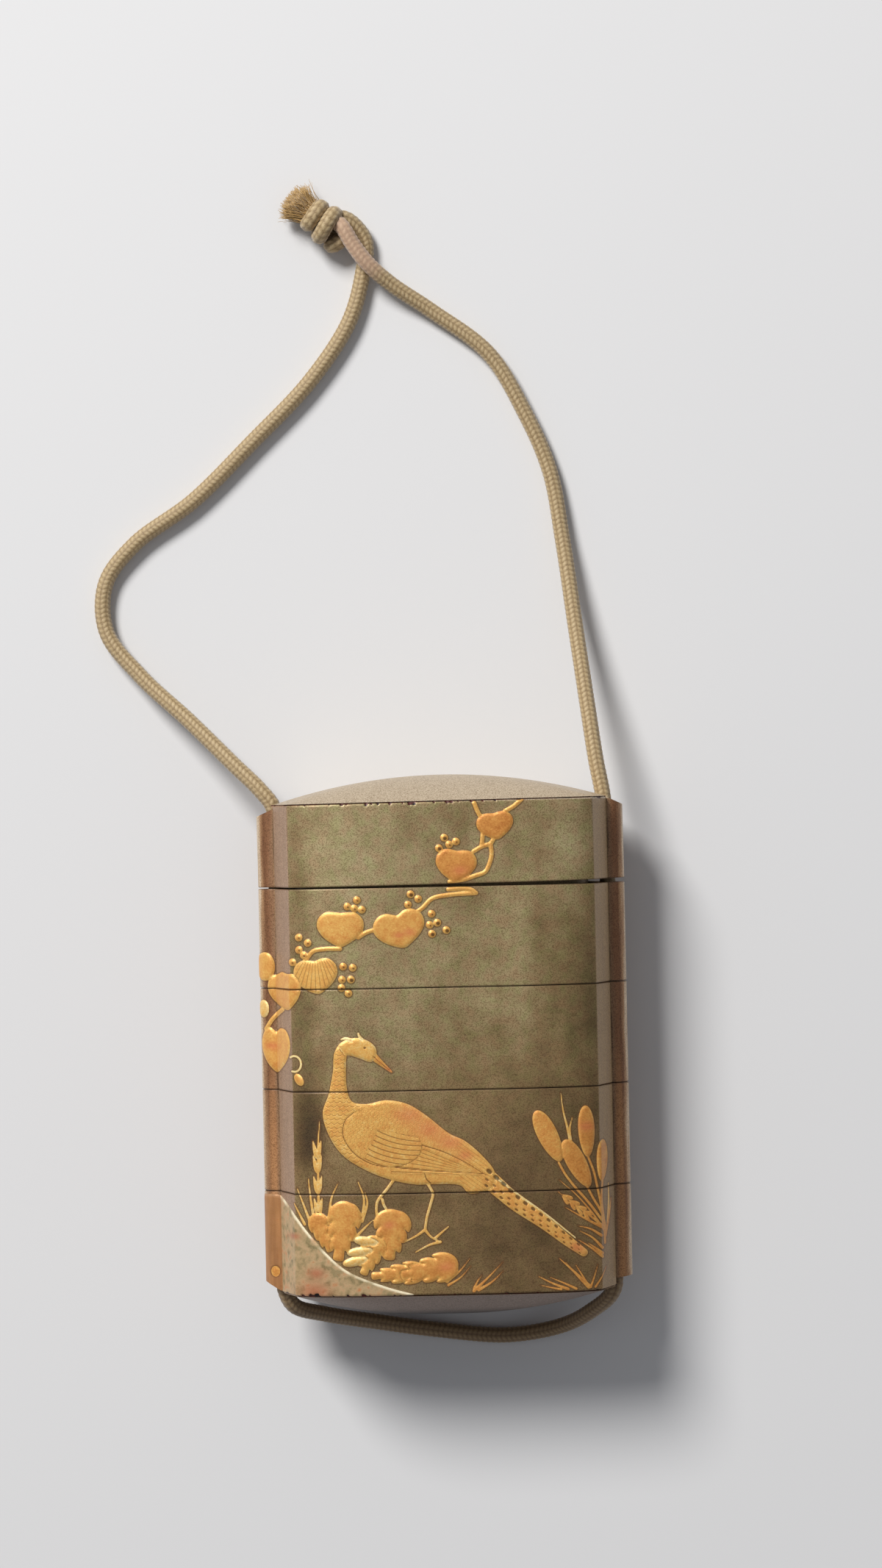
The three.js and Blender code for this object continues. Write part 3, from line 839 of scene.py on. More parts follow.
def leaf(x, y, width, height, degrees, notch):
    """A broad leaf with two shoulders, a dip between them at its stalk and a blunt tip."""
    right = [(u, v - (notch if u == 0 else 0)) for u, v in LEAF_HALF]
    left = [(-u, v) for u, v in right[:0:-1]]
    edge = np.array(right + [LEAF_TIP] + left) * (width, height)
    return turned(closed_curve(edge, 6), x, y, degrees)


def egg(x, y, length, width, degrees, taper=0.0, steps=48):
    """An egg shape with its narrow end along +X before it is turned."""
    turn = 2 * np.pi * np.arange(steps) / steps
    c, s = np.cos(turn), np.sin(turn)
    return turned(
        np.column_stack([0.5 * length * c, 0.5 * width * s * (1 - taper * c)]), x, y, degrees
    )


FOLIAGE_HALF = [
    (0.50, 0.0), (0.47, 0.24), (0.36, 0.43), (0.20, 0.50), (0.08, 0.44), (0.14, 0.33),
    (0.02, 0.41), (-0.12, 0.38), (-0.14, 0.28), (-0.07, 0.23), (-0.20, 0.30), (-0.34, 0.26),
    (-0.31, 0.16), (-0.48, 0.14),
]


def foliage(x, y, length, width, degrees):
    """A deeply cut leaf along +X: a round head, then pairs of lobes that lie back along it."""
    lower = [(u, -v) for u, v in FOLIAGE_HALF[:0:-1]]
    edge = np.array(FOLIAGE_HALF + lower) * (length, width)
    return turned(closed_curve(edge, 5), x, y, degrees)


print("a leaf has", len(leaf(0, 0, 1, 1, 0, 0)), "points, a cut leaf", len(foliage(0, 0, 1, 1, 0)))

# %% Depth inside an outline or a band


def distances(at, start, edge):
    """Each point's distance from every edge, and where along the edge it is nearest, 0 to 1."""
    offset = at[:, None, :] - start[None]
    share = np.clip((offset * edge).sum(2) / (edge**2).sum(1), 0, 1)
    return np.sqrt(((offset - share[..., None] * edge) ** 2).sum(2)), share


def outline_depth(at, start):
    """How far inside a closed outline each point lies, negative outside, in mm."""
    end = np.roll(start, -1, axis=0)
    edge = end - start
    gap = distances(at, start, edge)[0].min(1)
    spans = (start[:, 1] > at[:, 1:]) != (end[:, 1] > at[:, 1:])
    rise = np.where(np.abs(edge[:, 1]) < 1e-9, 1e-9, edge[:, 1])
    reach = edge[:, 0] * (at[:, 1:] - start[:, 1]) / rise + start[:, 0]
    inside = (spans & (at[:, :1] < reach)).sum(1) % 2 == 1
    return np.where(inside, gap, -gap)


def band_depth(at, line, start_width, end_width):
    """How far inside a band of changing width along a line each point lies, in mm."""
    edge = np.diff(line, axis=0)
    gap, share = distances(at, line[:-1], edge)
    along = (np.arange(len(edge)) + share) / len(edge)
    return (0.5 * (start_width + (end_width - start_width) * along) - gap).max(1)


middle = np.zeros((1, 2))
print("depth in the middle of a round of 2 mm:", outline_depth(middle, egg(0, 0, 2, 2, 0)), "mm")

# %% [markdown]
# ### The figures
# Each figure is an outline or a band with the height of its lacquer and a gold tone: 0 is
# a deep orange gold, 0.5 plain gold and 1 a pale gold. Later figures lie over earlier
# ones. Dark marks are engraved lines and spots, which show the dark lacquer.

# %% Lists of figures and marks
figures = []
marks = []


def add_area(shape, tone, height=1.0, **detail):
    """A raised figure with a closed outline. A detail says what lines are cut in it."""
    figures.append({"shape": shape, "tone": tone, "height": height, **detail})


def add_band(points, start_width, end_width=None, tone=0.6, height=0.8):
    """A raised line, as wide all along as at its start unless an end width is given."""
    widths = (start_width, end_width or start_width)
    figures.append({"line": smooth_line(points, 6), "widths": widths, "tone": tone, "height": height})


def add_mark(points, start_width, end_width=None):
    """An engraved line."""
    marks.append((smooth_line(points, 6), start_width, end_width or start_width))


def add_spot(x, y, reach_x, reach_y, size):
    """A dark spot, drawn as a short mark from x, y."""
    marks.append((np.array([(x, y), (x + reach_x, y + reach_y)]), size, size))


print("figures and marks:", len(figures), "and", len(marks))

# %% [markdown]
# ### The branch
# A fruiting branch comes in over the lid and hangs down the left side, with broad
# heart-shaped leaves and clusters of round berries. The darkest berries are hollow: a
# larger dark spot shows the lacquer inside their ring.

# %% Branch with leaves and berries
TWIG = 0.62
BERRY = 1.12
BERRY_SPOT = 0.3
HOLLOW_SPOT = 0.56


def add_leaf(x, y, width, height, degrees, notch, tone=0.42, veined=False):
    """A leaf, whose veins run from its stalk if it is veined."""
    stalk = {"veins": (x, y + 0.6 * height)} if veined else {}
    add_area(leaf(x, y, width, height, degrees, notch), tone, **stalk)


def add_berries(places, dark=()):
    """Berries at those places. The ones whose numbers are in dark are hollow."""
    for number, (x, y) in enumerate(places):
        add_area(egg(x, y, BERRY, BERRY, 0, steps=20), 0.4, 1.25)
        add_spot(x + 0.1, y - 0.12, 0.04, -0.01, HOLLOW_SPOT if number in dark else BERRY_SPOT)


for twig in (
    [(5.1, 35.3), (5.5, 34.2), (6.0, 33.2)],
    [(9.5, 34.0), (10.8, 34.7), (12.0, 35.7)],
    [(6.2, 30.8), (6.1, 29.8), (6.0, 29.2)],
    [(7.9, 30.3), (7.3, 29.4), (6.1, 29.0), (4.8, 28.3)],
    [(7.3, 29.4), (7.4, 27.8), (7.1, 26.6), (6.4, 25.3), (5.0, 24.8), (3.4, 24.3), (1.2, 24.0)],
    [(5.0, 22.5), (1.0, 22.3), (-1.4, 21.8), (-2.8, 20.5), (-4.0, 19.7)],
    [(5.0, 22.5), (4.3, 23.0), (2.6, 23.2), (1.0, 23.1)],
    [(-10.0, 17.4), (-11.0, 17.1), (-12.2, 16.4)],
    [(-14.9, 14.8), (-17.0, 14.8), (-18.8, 14.5), (-19.8, 13.4), (-20.6, 12.4)],
    [(-26.2, 2.9), (-25.2, 4.4), (-23.6, 5.9)],
):
    add_band(twig, TWIG, tone=0.42)

# x, y, width, height, turn, dip at the stalk
add_leaf(8.05, 32.0, 5.4, 4.0, 8, -0.04, tone=0.2)
add_leaf(2.2, 26.4, 6.0, 4.7, -6, -0.04, tone=0.25)
add_leaf(-6.2, 17.5, 7.6, 5.4, 12, 0.03, tone=0.42)
add_leaf(-14.8, 17.7, 6.9, 5.1, -2, -0.05, tone=0.45)
add_leaf(-18.5, 10.9, 6.5, 5.1, 6, -0.02, tone=0.52, veined=True)
add_leaf(-23.2, 8.6, 5.1, 5.3, 8, -0.13, tone=0.4)
add_leaf(-24.7, 0.0, 4.4, 6.6, 0, 0.02, tone=0.42)
add_area(egg(-26.2, 12.1, 3.0, 4.2, 0), 0.45)
add_area(egg(-26.5, 5.9, 1.6, 2.6, 0), 0.7)
add_berries([(0.6, 30.4), (-0.2, 28.9), (1.3, 29.4), (2.3, 29.8)], dark=(0, 1))
add_berries([(-4.5, 22.5), (-4.9, 21.0), (-3.4, 21.8)], dark=(0,))
add_berries([(-1.5, 16.7), (-0.7, 18.3), (0.6, 17.2), (-1.8, 18.0), (-1.5, 19.6)], dark=(0, 1, 2))
add_berries([(-13.7, 20.9), (-12.3, 21.8), (-11.6, 20.4), (-12.7, 20.6)])
add_berries([(-19.6, 15.7), (-20.9, 16.5), (-20.9, 14.7), (-20.2, 13.9), (-21.9, 12.9)])
add_berries(
    [(-14.5, 12.2), (-13.1, 12.0), (-14.7, 10.3), (-13.4, 10.3), (-14.8, 9.1), (-13.8, 8.3)],
    dark=(3,),
)
ring_turn = np.linspace(math.radians(125), math.radians(-110), 9)
tendril = np.column_stack([1.0 * np.cos(ring_turn), 1.15 * np.sin(ring_turn)]) + (-21.95, -1.9)
add_band(tendril, 0.3, tone=0.9, height=0.5)
add_area(egg(-21.3, -4.2, 1.9, 1.2, -60), 0.4, 0.8)
print("branch:", len(figures), "figures")

# %% [markdown]
# ### The bird
# The bird stands on the bank with its long tail to the right. It is drawn from back to
# front: legs and toes, tail, body with its neck, then beak, head and crest. The wing is no
# figure of its own: its edges are engraved, and the body swells a little under it.

# %% Legs, tail and body of the bird
for leg in (
    [(-7.6, -18.6), (-8.9, -20.3), (-10.2, -21.9), (-10.4, -23.0), (-10.3, -24.4)],
    [(-9.5, -21.7), (-9.3, -22.5), (-9.0, -23.0)],
    [(-3.2, -19.0), (-2.6, -20.0), (-2.15, -21.0), (-2.5, -22.4), (-3.1, -24.4), (-3.4, -26.2)],
):
    add_band(leg, 0.42, 0.38, tone=0.6, height=0.8)
for toe in (
    [(-3.4, -26.2), (-4.6, -27.0), (-6.4, -27.9)],
    [(-3.4, -26.2), (-2.6, -27.2), (-1.3, -28.0)],
    [(-1.2, -28.0), (-2.8, -28.4), (-4.8, -29.4)],
    [(-2.0, -27.5), (-1.2, -26.8), (0.0, -25.8)],
):
    add_band(toe, 0.42, 0.2, tone=0.5, height=0.7)

tail_line = [(4.4, -17.8), (7.0, -20.0), (10.0, -22.7), (14.0, -25.6), (17.4, -28.4), (19.6, -30.1)]
add_band(tail_line, 3.0, 1.15, tone=0.42, height=1.0)
add_band([(6.8, -18.7), (10.4, -21.5), (14.4, -24.5), (18.4, -27.9)], 0.3, 0.2, tone=0.75, height=1.1)
body_curve = closed_curve([
    (-14.35, -1.6), (-14.3, -5.6), (-13.6, -7.4), (-11.6, -7.8), (-8.6, -7.3), (-5.6, -7.9),
    (-2.9, -9.6), (0.4, -12.3), (2.6, -13.4), (5.0, -15.5), (6.9, -18.1), (6.6, -20.2),
    (4.9, -20.9), (3.0, -21.0), (1.9, -19.9), (-1.8, -19.6), (-4.6, -19.6), (-8.0, -18.9),
    (-11.6, -17.5), (-15.2, -15.1), (-17.2, -12.0), (-17.9, -9.0), (-17.0, -6.3),
    (-16.3, -3.0), (-16.0, -0.2), (-15.0, 1.1), (-14.2, -0.2),
])
add_area(body_curve, 0.5)
add_band([(-10.8, -0.5), (-9.4, -1.8), (-7.8, -3.2)], 1.3, 0.28, tone=0.35, height=0.8)
add_area(closed_curve([
    (-15.5, 0.6), (-14.4, 1.5), (-12.6, 1.8), (-11.0, 1.3), (-10.0, 0.3), (-10.0, -0.9),
    (-10.7, -1.7), (-12.3, -1.2), (-13.6, -0.75), (-14.6, -0.6),
]), 0.56)
add_band([(-13.6, 1.5), (-14.4, 1.75), (-15.0, 1.6)], 0.6, 0.25, tone=0.8, height=0.8)
add_band([(-12.0, 1.6), (-12.4, 2.1), (-12.5, 2.5)], 0.5, 0.25, tone=0.8, height=0.8)
print("with the bird:", len(figures), "figures")

# %% Wing, eye and spots of the tail
SPOT_STEP = 0.47
SPOT_SIDES = (1.0, -0.15, -0.9)
SPOT_SIZES = (0.66, 0.34, 0.4)
ACROSS_TAIL = (0.63, 0.78)

wing_curve = closed_curve([
    (-14.6, -10.1), (-13.2, -8.9), (-10.6, -8.7), (-7.4, -9.8), (-4.8, -11.8), (-3.6, -13.8),
    (-4.0, -15.3), (-5.6, -16.5), (-8.4, -17.0), (-11.4, -16.3), (-13.9, -14.4), (-15.0, -12.2),
])
for edge_line in (
    [(-13.4, -9.0), (-14.7, -10.3), (-15.0, -12.2), (-13.9, -14.4), (-11.4, -16.3),
     (-8.4, -17.0), (-5.6, -16.5), (-4.0, -15.3), (-3.6, -13.9)],
    [(-3.6, -13.9), (-0.6, -14.9), (2.4, -16.4), (5.7, -18.5)],
    [(-7.4, -17.1), (-3.0, -17.6), (1.4, -17.9), (5.4, -18.3)],
):
    add_mark(edge_line, 0.2, 0.14)
add_mark([(-3.3, -18.0), (-3.0, -18.9), (-2.4, -19.5)], 0.2)
tail_places = even_steps(smooth_line(tail_line, 8), SPOT_STEP)[0][3:-1]
for number, place in enumerate(tail_places):
    shrink = 1 - 0.55 * number / len(tail_places)
    side = SPOT_SIDES[number % 3] * shrink
    x, y = place + side * np.array(ACROSS_TAIL)
    add_spot(x - 0.12, y + 0.1, 0.24, -0.2, SPOT_SIZES[number % 3] * shrink)
add_spot(-11.6, 0.35, 0.05, -0.02, 0.36)
add_mark([(-10.4, -0.9), (-9.2, -2.0), (-8.0, -3.0)], 0.14)
print("marks of the branch and the bird:", len(marks))

# %% [markdown]
# ### The bank and its plants
# The bank is the one figure that is not gold: a low mound in tan dust, with a painted highlight along
# its edge.
# Grasses, an ear, lance-shaped heads on thin stems and deeply cut leaves grow from it and
# at the right. A blade is a band that widens from its tip to its foot.

# %% Bank, blades and ears
bank_edge = smooth_line([
    (-27.5, -21.4), (-24.6, -21.5), (-23.0, -23.0), (-20.5, -26.3), (-17.6, -29.6),
    (-14.6, -32.1), (-9.0, -34.4), (-5.2, -35.5),
], 12)
bank_curve = np.vstack([bank_edge, [(-5.2, -37), (-27.5, -37)]])

for blade in (
    [(-21.9, -20.0), (-21.0, -22.4), (-20.2, -24.6)],
    [(-15.9, -19.2), (-16.9, -21.4), (-17.3, -24.0)],
    [(-12.0, -20.6), (-11.7, -22.2), (-12.5, -24.8)],
    [(-22.4, -22.2), (-21.6, -23.8), (-20.9, -25.2)],
    [(-10.9, -24.6), (-12.0, -25.6), (-13.4, -27.0)],
    [(-13.0, -19.0), (-12.2, -21.4), (-12.4, -24.0)],
    [(-20.2, -18.6), (-20.0, -21.0), (-19.6, -24.0)],
    [(23.5, -20.4), (23.5, -23.0), (23.3, -26.2)],
    [(16.7, -6.8), (17.0, -9.4), (17.5, -11.6), (17.9, -13.6)],
    [(18.3, -10.4), (17.9, -12.0), (18.0, -13.8)],
):
    add_band(blade, 0.14, 0.42, tone=0.5, height=0.4)
add_band([(-18.4, -10.2), (-18.7, -14.0), (-18.8, -24.4)], 0.12, 0.4, tone=0.45, height=0.6)
for y in (-14.3, -16.4, -19.4, -22.6):
    for side in (-1, 1):
        add_area(egg(-18.85 + 0.34 * side, y, 2.8, 0.58, 90 - 12 * side, 0.6, 20), 0.55, 0.5)
print("with blades and an ear:", len(figures), "figures")

# %% Stems and blades at the right
for stem in (
    [(16.2, -16.9), (17.1, -18.6), (18.4, -20.4), (20.4, -22.8), (22.4, -25.6)],
    [(20.2, -20.4), (21.2, -22.4), (22.4, -24.6), (23.0, -27.0)],
    [(20.5, -16.2), (21.3, -18.4), (21.8, -20.8), (22.4, -24.0), (22.8, -27.4)],
    [(22.6, -19.6), (22.4, -22.4), (22.7, -25.8), (22.8, -29.0)],
):
    add_band(stem, 0.3, 0.36, tone=0.2, height=0.5)
for blade, width in (
    ([(16.0, -21.1), (18.2, -22.9), (20.6, -24.8), (22.6, -26.5)], 0.34),
    ([(17.0, -23.4), (19.6, -25.0), (22.4, -26.6)], 0.42),
    ([(16.2, -19.4), (18.6, -21.6), (20.8, -24.2), (22.4, -26.6)], 0.3),
    ([(18.8, -26.2), (20.6, -26.7), (22.3, -27.8)], 0.4),
    ([(19.0, -26.9), (20.9, -28.0), (22.4, -29.6)], 0.42),
    ([(20.3, -28.8), (21.3, -29.5), (22.4, -30.4)], 0.42),
    ([(18.8, -28.2), (20.6, -29.4), (22.4, -30.9)], 0.4),
    ([(22.0, -21.9), (22.3, -24.0), (22.6, -27.0)], 0.34),
    ([(23.9, -22.6), (23.6, -24.8), (22.9, -28.0)], 0.34),
    ([(16.0, -30.8), (17.9, -32.6), (20.2, -34.9)], 0.5),
    ([(16.9, -31.4), (18.4, -33.2), (20.2, -35.2)], 0.42),
    ([(18.4, -31.9), (19.3, -33.4), (20.3, -35.2)], 0.34),
    ([(21.6, -32.0), (21.1, -33.6), (20.5, -35.2)], 0.32),
    ([(12.9, -33.3), (15.0, -34.4), (17.2, -35.3)], 0.42),
    ([(14.6, -33.5), (16.6, -34.4), (18.4, -35.3)], 0.36),
    ([(13.2, -34.6), (14.8, -35.0), (16.2, -35.3)], 0.3),
    ([(22.9, -32.4), (22.2, -33.8), (21.2, -35.2)], 0.3),
    ([(7.8, -31.1), (5.4, -33.5), (3.5, -35.2)], 0.46),
    ([(7.8, -32.4), (6.2, -33.9), (4.2, -35.1)], 0.4),
    ([(4.7, -33.0), (4.2, -33.6), (3.5, -34.8)], 0.3),
    ([(3.0, -30.5), (1.4, -32.4), (-0.4, -33.8)], 0.4),
    ([(3.1, -31.6), (1.6, -33.2), (-0.2, -34.3)], 0.34),
):
    add_band(blade, 0.1, width, tone=0.16, height=0.45)
for x, y in ((17.2, -22.1), (18.2, -22.95), (19.2, -23.75), (20.2, -24.55)):
    for side in (-1, 1):
        add_area(egg(x + 0.2 * side, y + 0.24 * side, 1.7, 0.42, 141 + 16 * side, 0.6, 20), 0.24, 0.5)
print("with the blades at the right:", len(figures), "figures")

# %% Lance heads and cut leaves
for x, y, length, width, degrees, tone in (
    (14.75, -13.0, 8.2, 2.9, 115, 0.34), (20.35, -12.5, 7.5, 2.4, 92, 0.26),
    (18.85, -17.1, 7.8, 2.8, 117, 0.26), (22.6, -16.9, 6.1, 1.7, 88, 0.3),
):
    add_area(egg(x, y, length, width, degrees, -0.12), tone, 0.9, grain=degrees)
for x, y, length, width, degrees, tone in (
    (-18.3, -26.4, 6.0, 3.2, 112, 0.30), (-15.4, -26.2, 8.8, 5.0, 80, 0.34),
    (-8.3, -26.8, 7.4, 5.5, 83, 0.34), (-7.4, -32.5, 8.0, 3.4, 4, 0.34),
    (-2.9, -32.0, 8.6, 4.4, 10, 0.30), (-11.4, -29.8, 6.0, 3.8, 68, 0.42),
):
    add_area(foliage(x, y, length, width, degrees), tone, 1.1)
# Three pale ovals on the cut leaves are painted highlights on their raised lobes.
for x, y, length, degrees in (
    (-12.0, -27.7, 3.6, 172), (-12.9, -29.2, 3.8, 188), (-13.6, -30.6, 3.8, 192),
):
    add_area(egg(x, y, length, 1.35, degrees, -0.1, 24), 0.7, 1.2)
add_area(egg(-25.5, -32.7, 1.3, 1.6, 0, steps=20), 0.25, 0.6)
print("whole picture:", len(figures), "figures and", len(marks), "marks")

# %% [markdown]
# ### Reading the picture at a point
# All the figures are laid over each other in order. The result at a point is the height of
# the lacquer, its depth inside the nearest figure, its tone, and how near a dark line is.
# Feathers, veins and grain are rows of fine lines, finer than the mesh. They are kept as one
# number that passes a whole value at each line, which stays crisp between the points.

# %% Depth in a figure
REACH = 0.9
POINTS_AT_ONCE = 5000


def depth_in(figure, at):
    """Depth of each point inside a figure, worked out only near the figure."""
    is_area = "shape" in figure
    shape = figure["shape"] if is_area else figure["line"]
    margin = REACH + (0 if is_area else 0.5 * max(figure["widths"]))
    near = np.all((at > shape.min(0) - margin) & (at < shape.max(0) + margin), axis=1)
    depth = np.full(len(at), -REACH)
    places = np.flatnonzero(near)
    for part in np.array_split(places, 1 + len(places) // POINTS_AT_ONCE):
        if len(part) == 0:
            continue
        if is_area:
            depth[part] = outline_depth(at[part], shape)
        else:
            depth[part] = band_depth(at[part], shape, *figure["widths"])
    return np.maximum(depth, -REACH)


print("depth of the bank below its edge:", depth_in({"shape": bank_curve}, np.array([(-20, -34.0)])))

# %% Feathers
FEATHER_PITCH = 0.74
FAN_PITCH = 3.4
TAIL_PITCH = 0.5
WING_CENTRE = (-9.0, -13.0)
WING_LEAN = -25
FAN_POINT = (5.6, -18.5)


def scale_rows(u, v, pitch, width):
    """Overlapping rows of small scales: each row is shifted by half a scale."""
    row = np.round(v / pitch)
    arch = np.abs(np.sin(np.pi * (u / width + 0.5 * row)))
    return v / pitch + 0.5 * (arch - 0.5)


def feather_lines(at, in_wing):
    """Rows of feathers over the bird, and how strongly they are cut. A line runs wherever
    the first value is whole."""
    x, y = at.T
    u, v = turned(at - WING_CENTRE, 0, 0, -WING_LEAN).T
    quills = (v - 0.04 * (u + 0.5) ** 2) / FEATHER_PITCH
    fan_x, fan_y = x - FAN_POINT[0], y - FAN_POINT[1]
    fan = np.degrees(np.arctan2(fan_y, -fan_x)) / FAN_PITCH
    on_quills = in_wing & (u > -1.6) & (v < 1.0 + 0.26 * (u + 1))
    in_fan = (fan_x < -0.4) & (x > -8.2) & (fan > 0.6) & (fan < 7.4)
    on_front = (x < -12.2) | ((y > -8.0) & (x < -11.0))
    over_tail = (x > 1.5) & (y < -13.2)
    on_belly = (v < -2.2) & ~on_front
    kinds = [
        # where, lines, how strongly they are cut; the first one that holds counts
        (on_quills, quills, 0.85),
        (in_wing, scale_rows(v, u, 0.55, 0.6), 0.32),
        (in_fan, fan, 0.75),
        (over_tail, (v + 0.2 * u) / TAIL_PITCH, 0.35),
        (on_front, scale_rows(x, y, 0.62, 0.9), 0.6),
        (on_belly, scale_rows(v, u, 0.5, 0.55), 0.12),
    ]
    where, lines, strengths = zip(*kinds)
    back = scale_rows(v, u, 0.5, 0.55)
    return np.select(where, lines, back), np.select(where, strengths, 0.2)


print("lines at the wing's middle:", feather_lines(np.array([WING_CENTRE]), np.array([True])))

# %% [markdown]
# ### Clouds and rosy patches
# The ground is not even: it is lighter at the upper left and darker at the right and low down. The
# faint upright light streaks through it are painted reflections, and the darker strips along both
# edges of the face are painted shade where the face curves away. The gold has rosy patches where a
# red lacquer shows. Both are soft patches laid over each other.

# %% Clouds and rosy patches
BLUSH_PLACES = [
    # x, y, size of a rosy patch in the gold
    (-4.8, 17.0, 1.0), (-6.4, 16.6, 0.7), (2.8, 25.6, 1.1), (-25.2, 0.4, 1.0), (-5.4, -9.4, 2.2),
    (-2.4, -11.6, 2.4), (0.6, -13.6, 2.0), (2.6, -15.6, 1.2), (-8.6, -25.4, 1.0),
    (-0.4, -31.6, 1.2), (-8.2, -2.9, 1.0), (18.6, -29.3, 1.3), (20.3, -11.8, 1.2),
    (-19.6, -35.0, 2.4), (-22.4, -27.0, 0.8), (-19.3, -32.3, 1.3),
]
GROUND_SHADE = 0.6
# Soft patches of lighter and darker ground: the narrow upright light streaks are painted reflections,
# and the darker strips along the face's edges are painted shade.
GROUND_AND_PAINTED_LIGHT_PATCHES = [
    # x, y, width, height, change of lightness
    (-14.0, 30.0, 12.0, 12.0, 0.20), (-8.0, 10.0, 14.0, 14.0, 0.12), (8.5, 20.0, 2.6, 18.0, 0.10),
    (13.0, 16.0, 2.2, 16.0, 0.08), (18.4, 29.0, 3.6, 9.0, 0.26), (3.0, 28.0, 2.4, 8.0, -0.04),
    (19.0, 5.0, 4.5, 24.0, -0.13), (21.8, 2.0, 1.4, 26.0, -0.14), (12.0, -16.0, 8.0, 12.0, -0.20),
    (12.0, -31.0, 10.0, 9.0, -0.19), (2.0, -27.0, 8.0, 9.0, -0.10), (0.0, -4.0, 12.0, 6.0, -0.05),
    (-19.6, -12.0, 2.2, 6.0, -0.42), (-20.8, 9.0, 1.9, 26.0, -0.17), (-10.0, -22.0, 8.0, 3.0, -0.16),
    (8.1, 9, 0.9, 12, -0.07), (11.2, 10, 0.8, 16, 0.06), (14.0, 20, 1.0, 14, -0.07),
    (17.2, 3, 0.9, 8, 0.06), (5.0, 30, 0.8, 5, 0.07), (-0.6, 8, 0.8, 9, -0.04),
    (-5.0, 3, 0.8, 8, 0.04),
]


def patch(at, x, y, width, height):
    """A soft patch: 1 at x, y and fading to 0 over its width and height."""
    return np.exp(-(((at[:, 0] - x) / width) ** 2 + ((at[:, 1] - y) / height) ** 2))


def blush_and_shade(at):
    """How rosy the gold is and how light the ground is at each point, with its painted streaks and
    edge shade, 0 to 1.
    """
    blush = sum(patch(at, x, y, size, 0.6 * size) for x, y, size in BLUSH_PLACES)
    shade = GROUND_SHADE + sum(change * patch(at, *place) for *place, change in GROUND_AND_PAINTED_LIGHT_PATCHES)
    return np.clip(blush, 0, 1), np.clip(shade, 0, 1)


print("shade at the middle:", blush_and_shade(np.zeros((1, 2)))[1].round(2))

# %% The picture at any point
RELIEF = 0.25
BANK_RISE = 0.45
WING_RISE = 0.12
INK_DEPTH = 0.06
INK_EDGE = 0.08
EDGE_ROUNDING = 0.16
CROWN_ROUNDING = 1.4
GOLD_BEGINS = -0.03
RIM_LIGHT = 0.16
RIM_LIGHT_WIDTH = 0.25
OVERLAP_LINE = 0.07


def rising(depth, reach):
    """0 at an edge, and nearing 1 further inside it than the reach."""
    return 1 - np.exp(-np.maximum(depth, 0) / reach)


def cut_lines(figure, at, inside):
    """The lines cut in a figure and how strongly, with the rise of the wing under them."""
    plain = np.full(len(at), 0.5), np.zeros(len(at)), 0
    if "veins" in figure:
        stalk_x, stalk_y = figure["veins"]
        angle = np.degrees(np.arctan2(at[:, 0] - stalk_x, stalk_y + 2.0 - at[:, 1]))
        cut, lines, strength, swell = inside > 0.2, angle / 6.0, 0.6, 0
    elif "grain" in figure:
        u, v = turned(at, 0, 0, -figure["grain"]).T
        cut, lines, strength, swell = inside > 0.15, scale_rows(v, u, 0.5, 0.6), 0.16, 0
    elif figure.get("shape") is body_curve:
        wing = depth_in({"shape": wing_curve}, at)
        lines, strength = feather_lines(at, wing > 0)
        cut, swell = inside > 0.1, WING_RISE * RELIEF * rising(wing, 0.3)
    else:
        return plain
    return np.where(cut, lines, plain[0]), np.where(cut, strength, plain[1]), swell


def picture_at(at):
    """Everything the picture says about each point of the face, and the lacquer's rise there."""
    count = len(at)
    depth = np.full(count, -REACH)
    ink = np.full(count, -REACH)
    tone = np.full(count, 0.5)
    feather = np.full(count, 0.5)
    hatch = np.zeros(count)
    bank = depth_in({"shape": bank_curve}, at)
    rise = BANK_RISE * RELIEF * rising(bank, 0.25)
    for figure in figures:
        inside = depth_in(figure, at)
        over = inside > GOLD_BEGINS
        if not over.any():
            continue
        overlapping = (depth > 0.2) & (inside < 0.1)
        ink = np.where(overlapping, np.maximum(ink, OVERLAP_LINE - np.abs(inside)), ink)
        swell = 0.8 * rising(inside, EDGE_ROUNDING) + 0.2 * rising(inside, CROWN_ROUNDING)
        height = figure["height"] * RELIEF * swell
        rise = np.where(inside > 0, np.maximum(height, 0.6 * rise), rise)
        rim_light = RIM_LIGHT * np.exp(-((np.maximum(inside, 0) / RIM_LIGHT_WIDTH) ** 2))
        tone = np.where(over, np.clip(figure["tone"] + rim_light, 0, 1), tone)
        lines, strength, wing_rise = cut_lines(figure, at, inside)
        feather = np.where(over, lines, feather)
        hatch = np.where(over, strength, hatch)
        rise += wing_rise
        depth = np.maximum(depth, inside)
    for line, *widths in marks:
        ink = np.maximum(ink, depth_in({"line": line, "widths": widths}, at))
    rise -= INK_DEPTH * np.clip(ink / INK_EDGE, 0, 1) * (depth > 0)
    blush, shade = blush_and_shade(at)
    return {
        "depth": depth, "ink": ink, "bank": bank, "tone": tone, "feather": feather,
        "hatch": hatch, "blush": blush, "shade": shade,
    }, np.maximum(rise, 0)


sample, _ = picture_at(np.array([WING_CENTRE, (2.2, 26.3), (15.0, 5.0)]))
print("depths on wing, leaf and ground:", sample["depth"].round(2), "mm")

# %% [markdown]
# ## Raising the picture on the sections
# Each section's wall points are pushed out by the height of the lacquer above them, and
# everything that the colours need is kept on the points. Bump in the material could only
# seem to raise the gold, and this relief catches the light from every side. The rims are
# chipped: small bites are pushed back into the edge, where the real lacquer has broken
# away. The lid is turned about its lower left corner last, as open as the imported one.

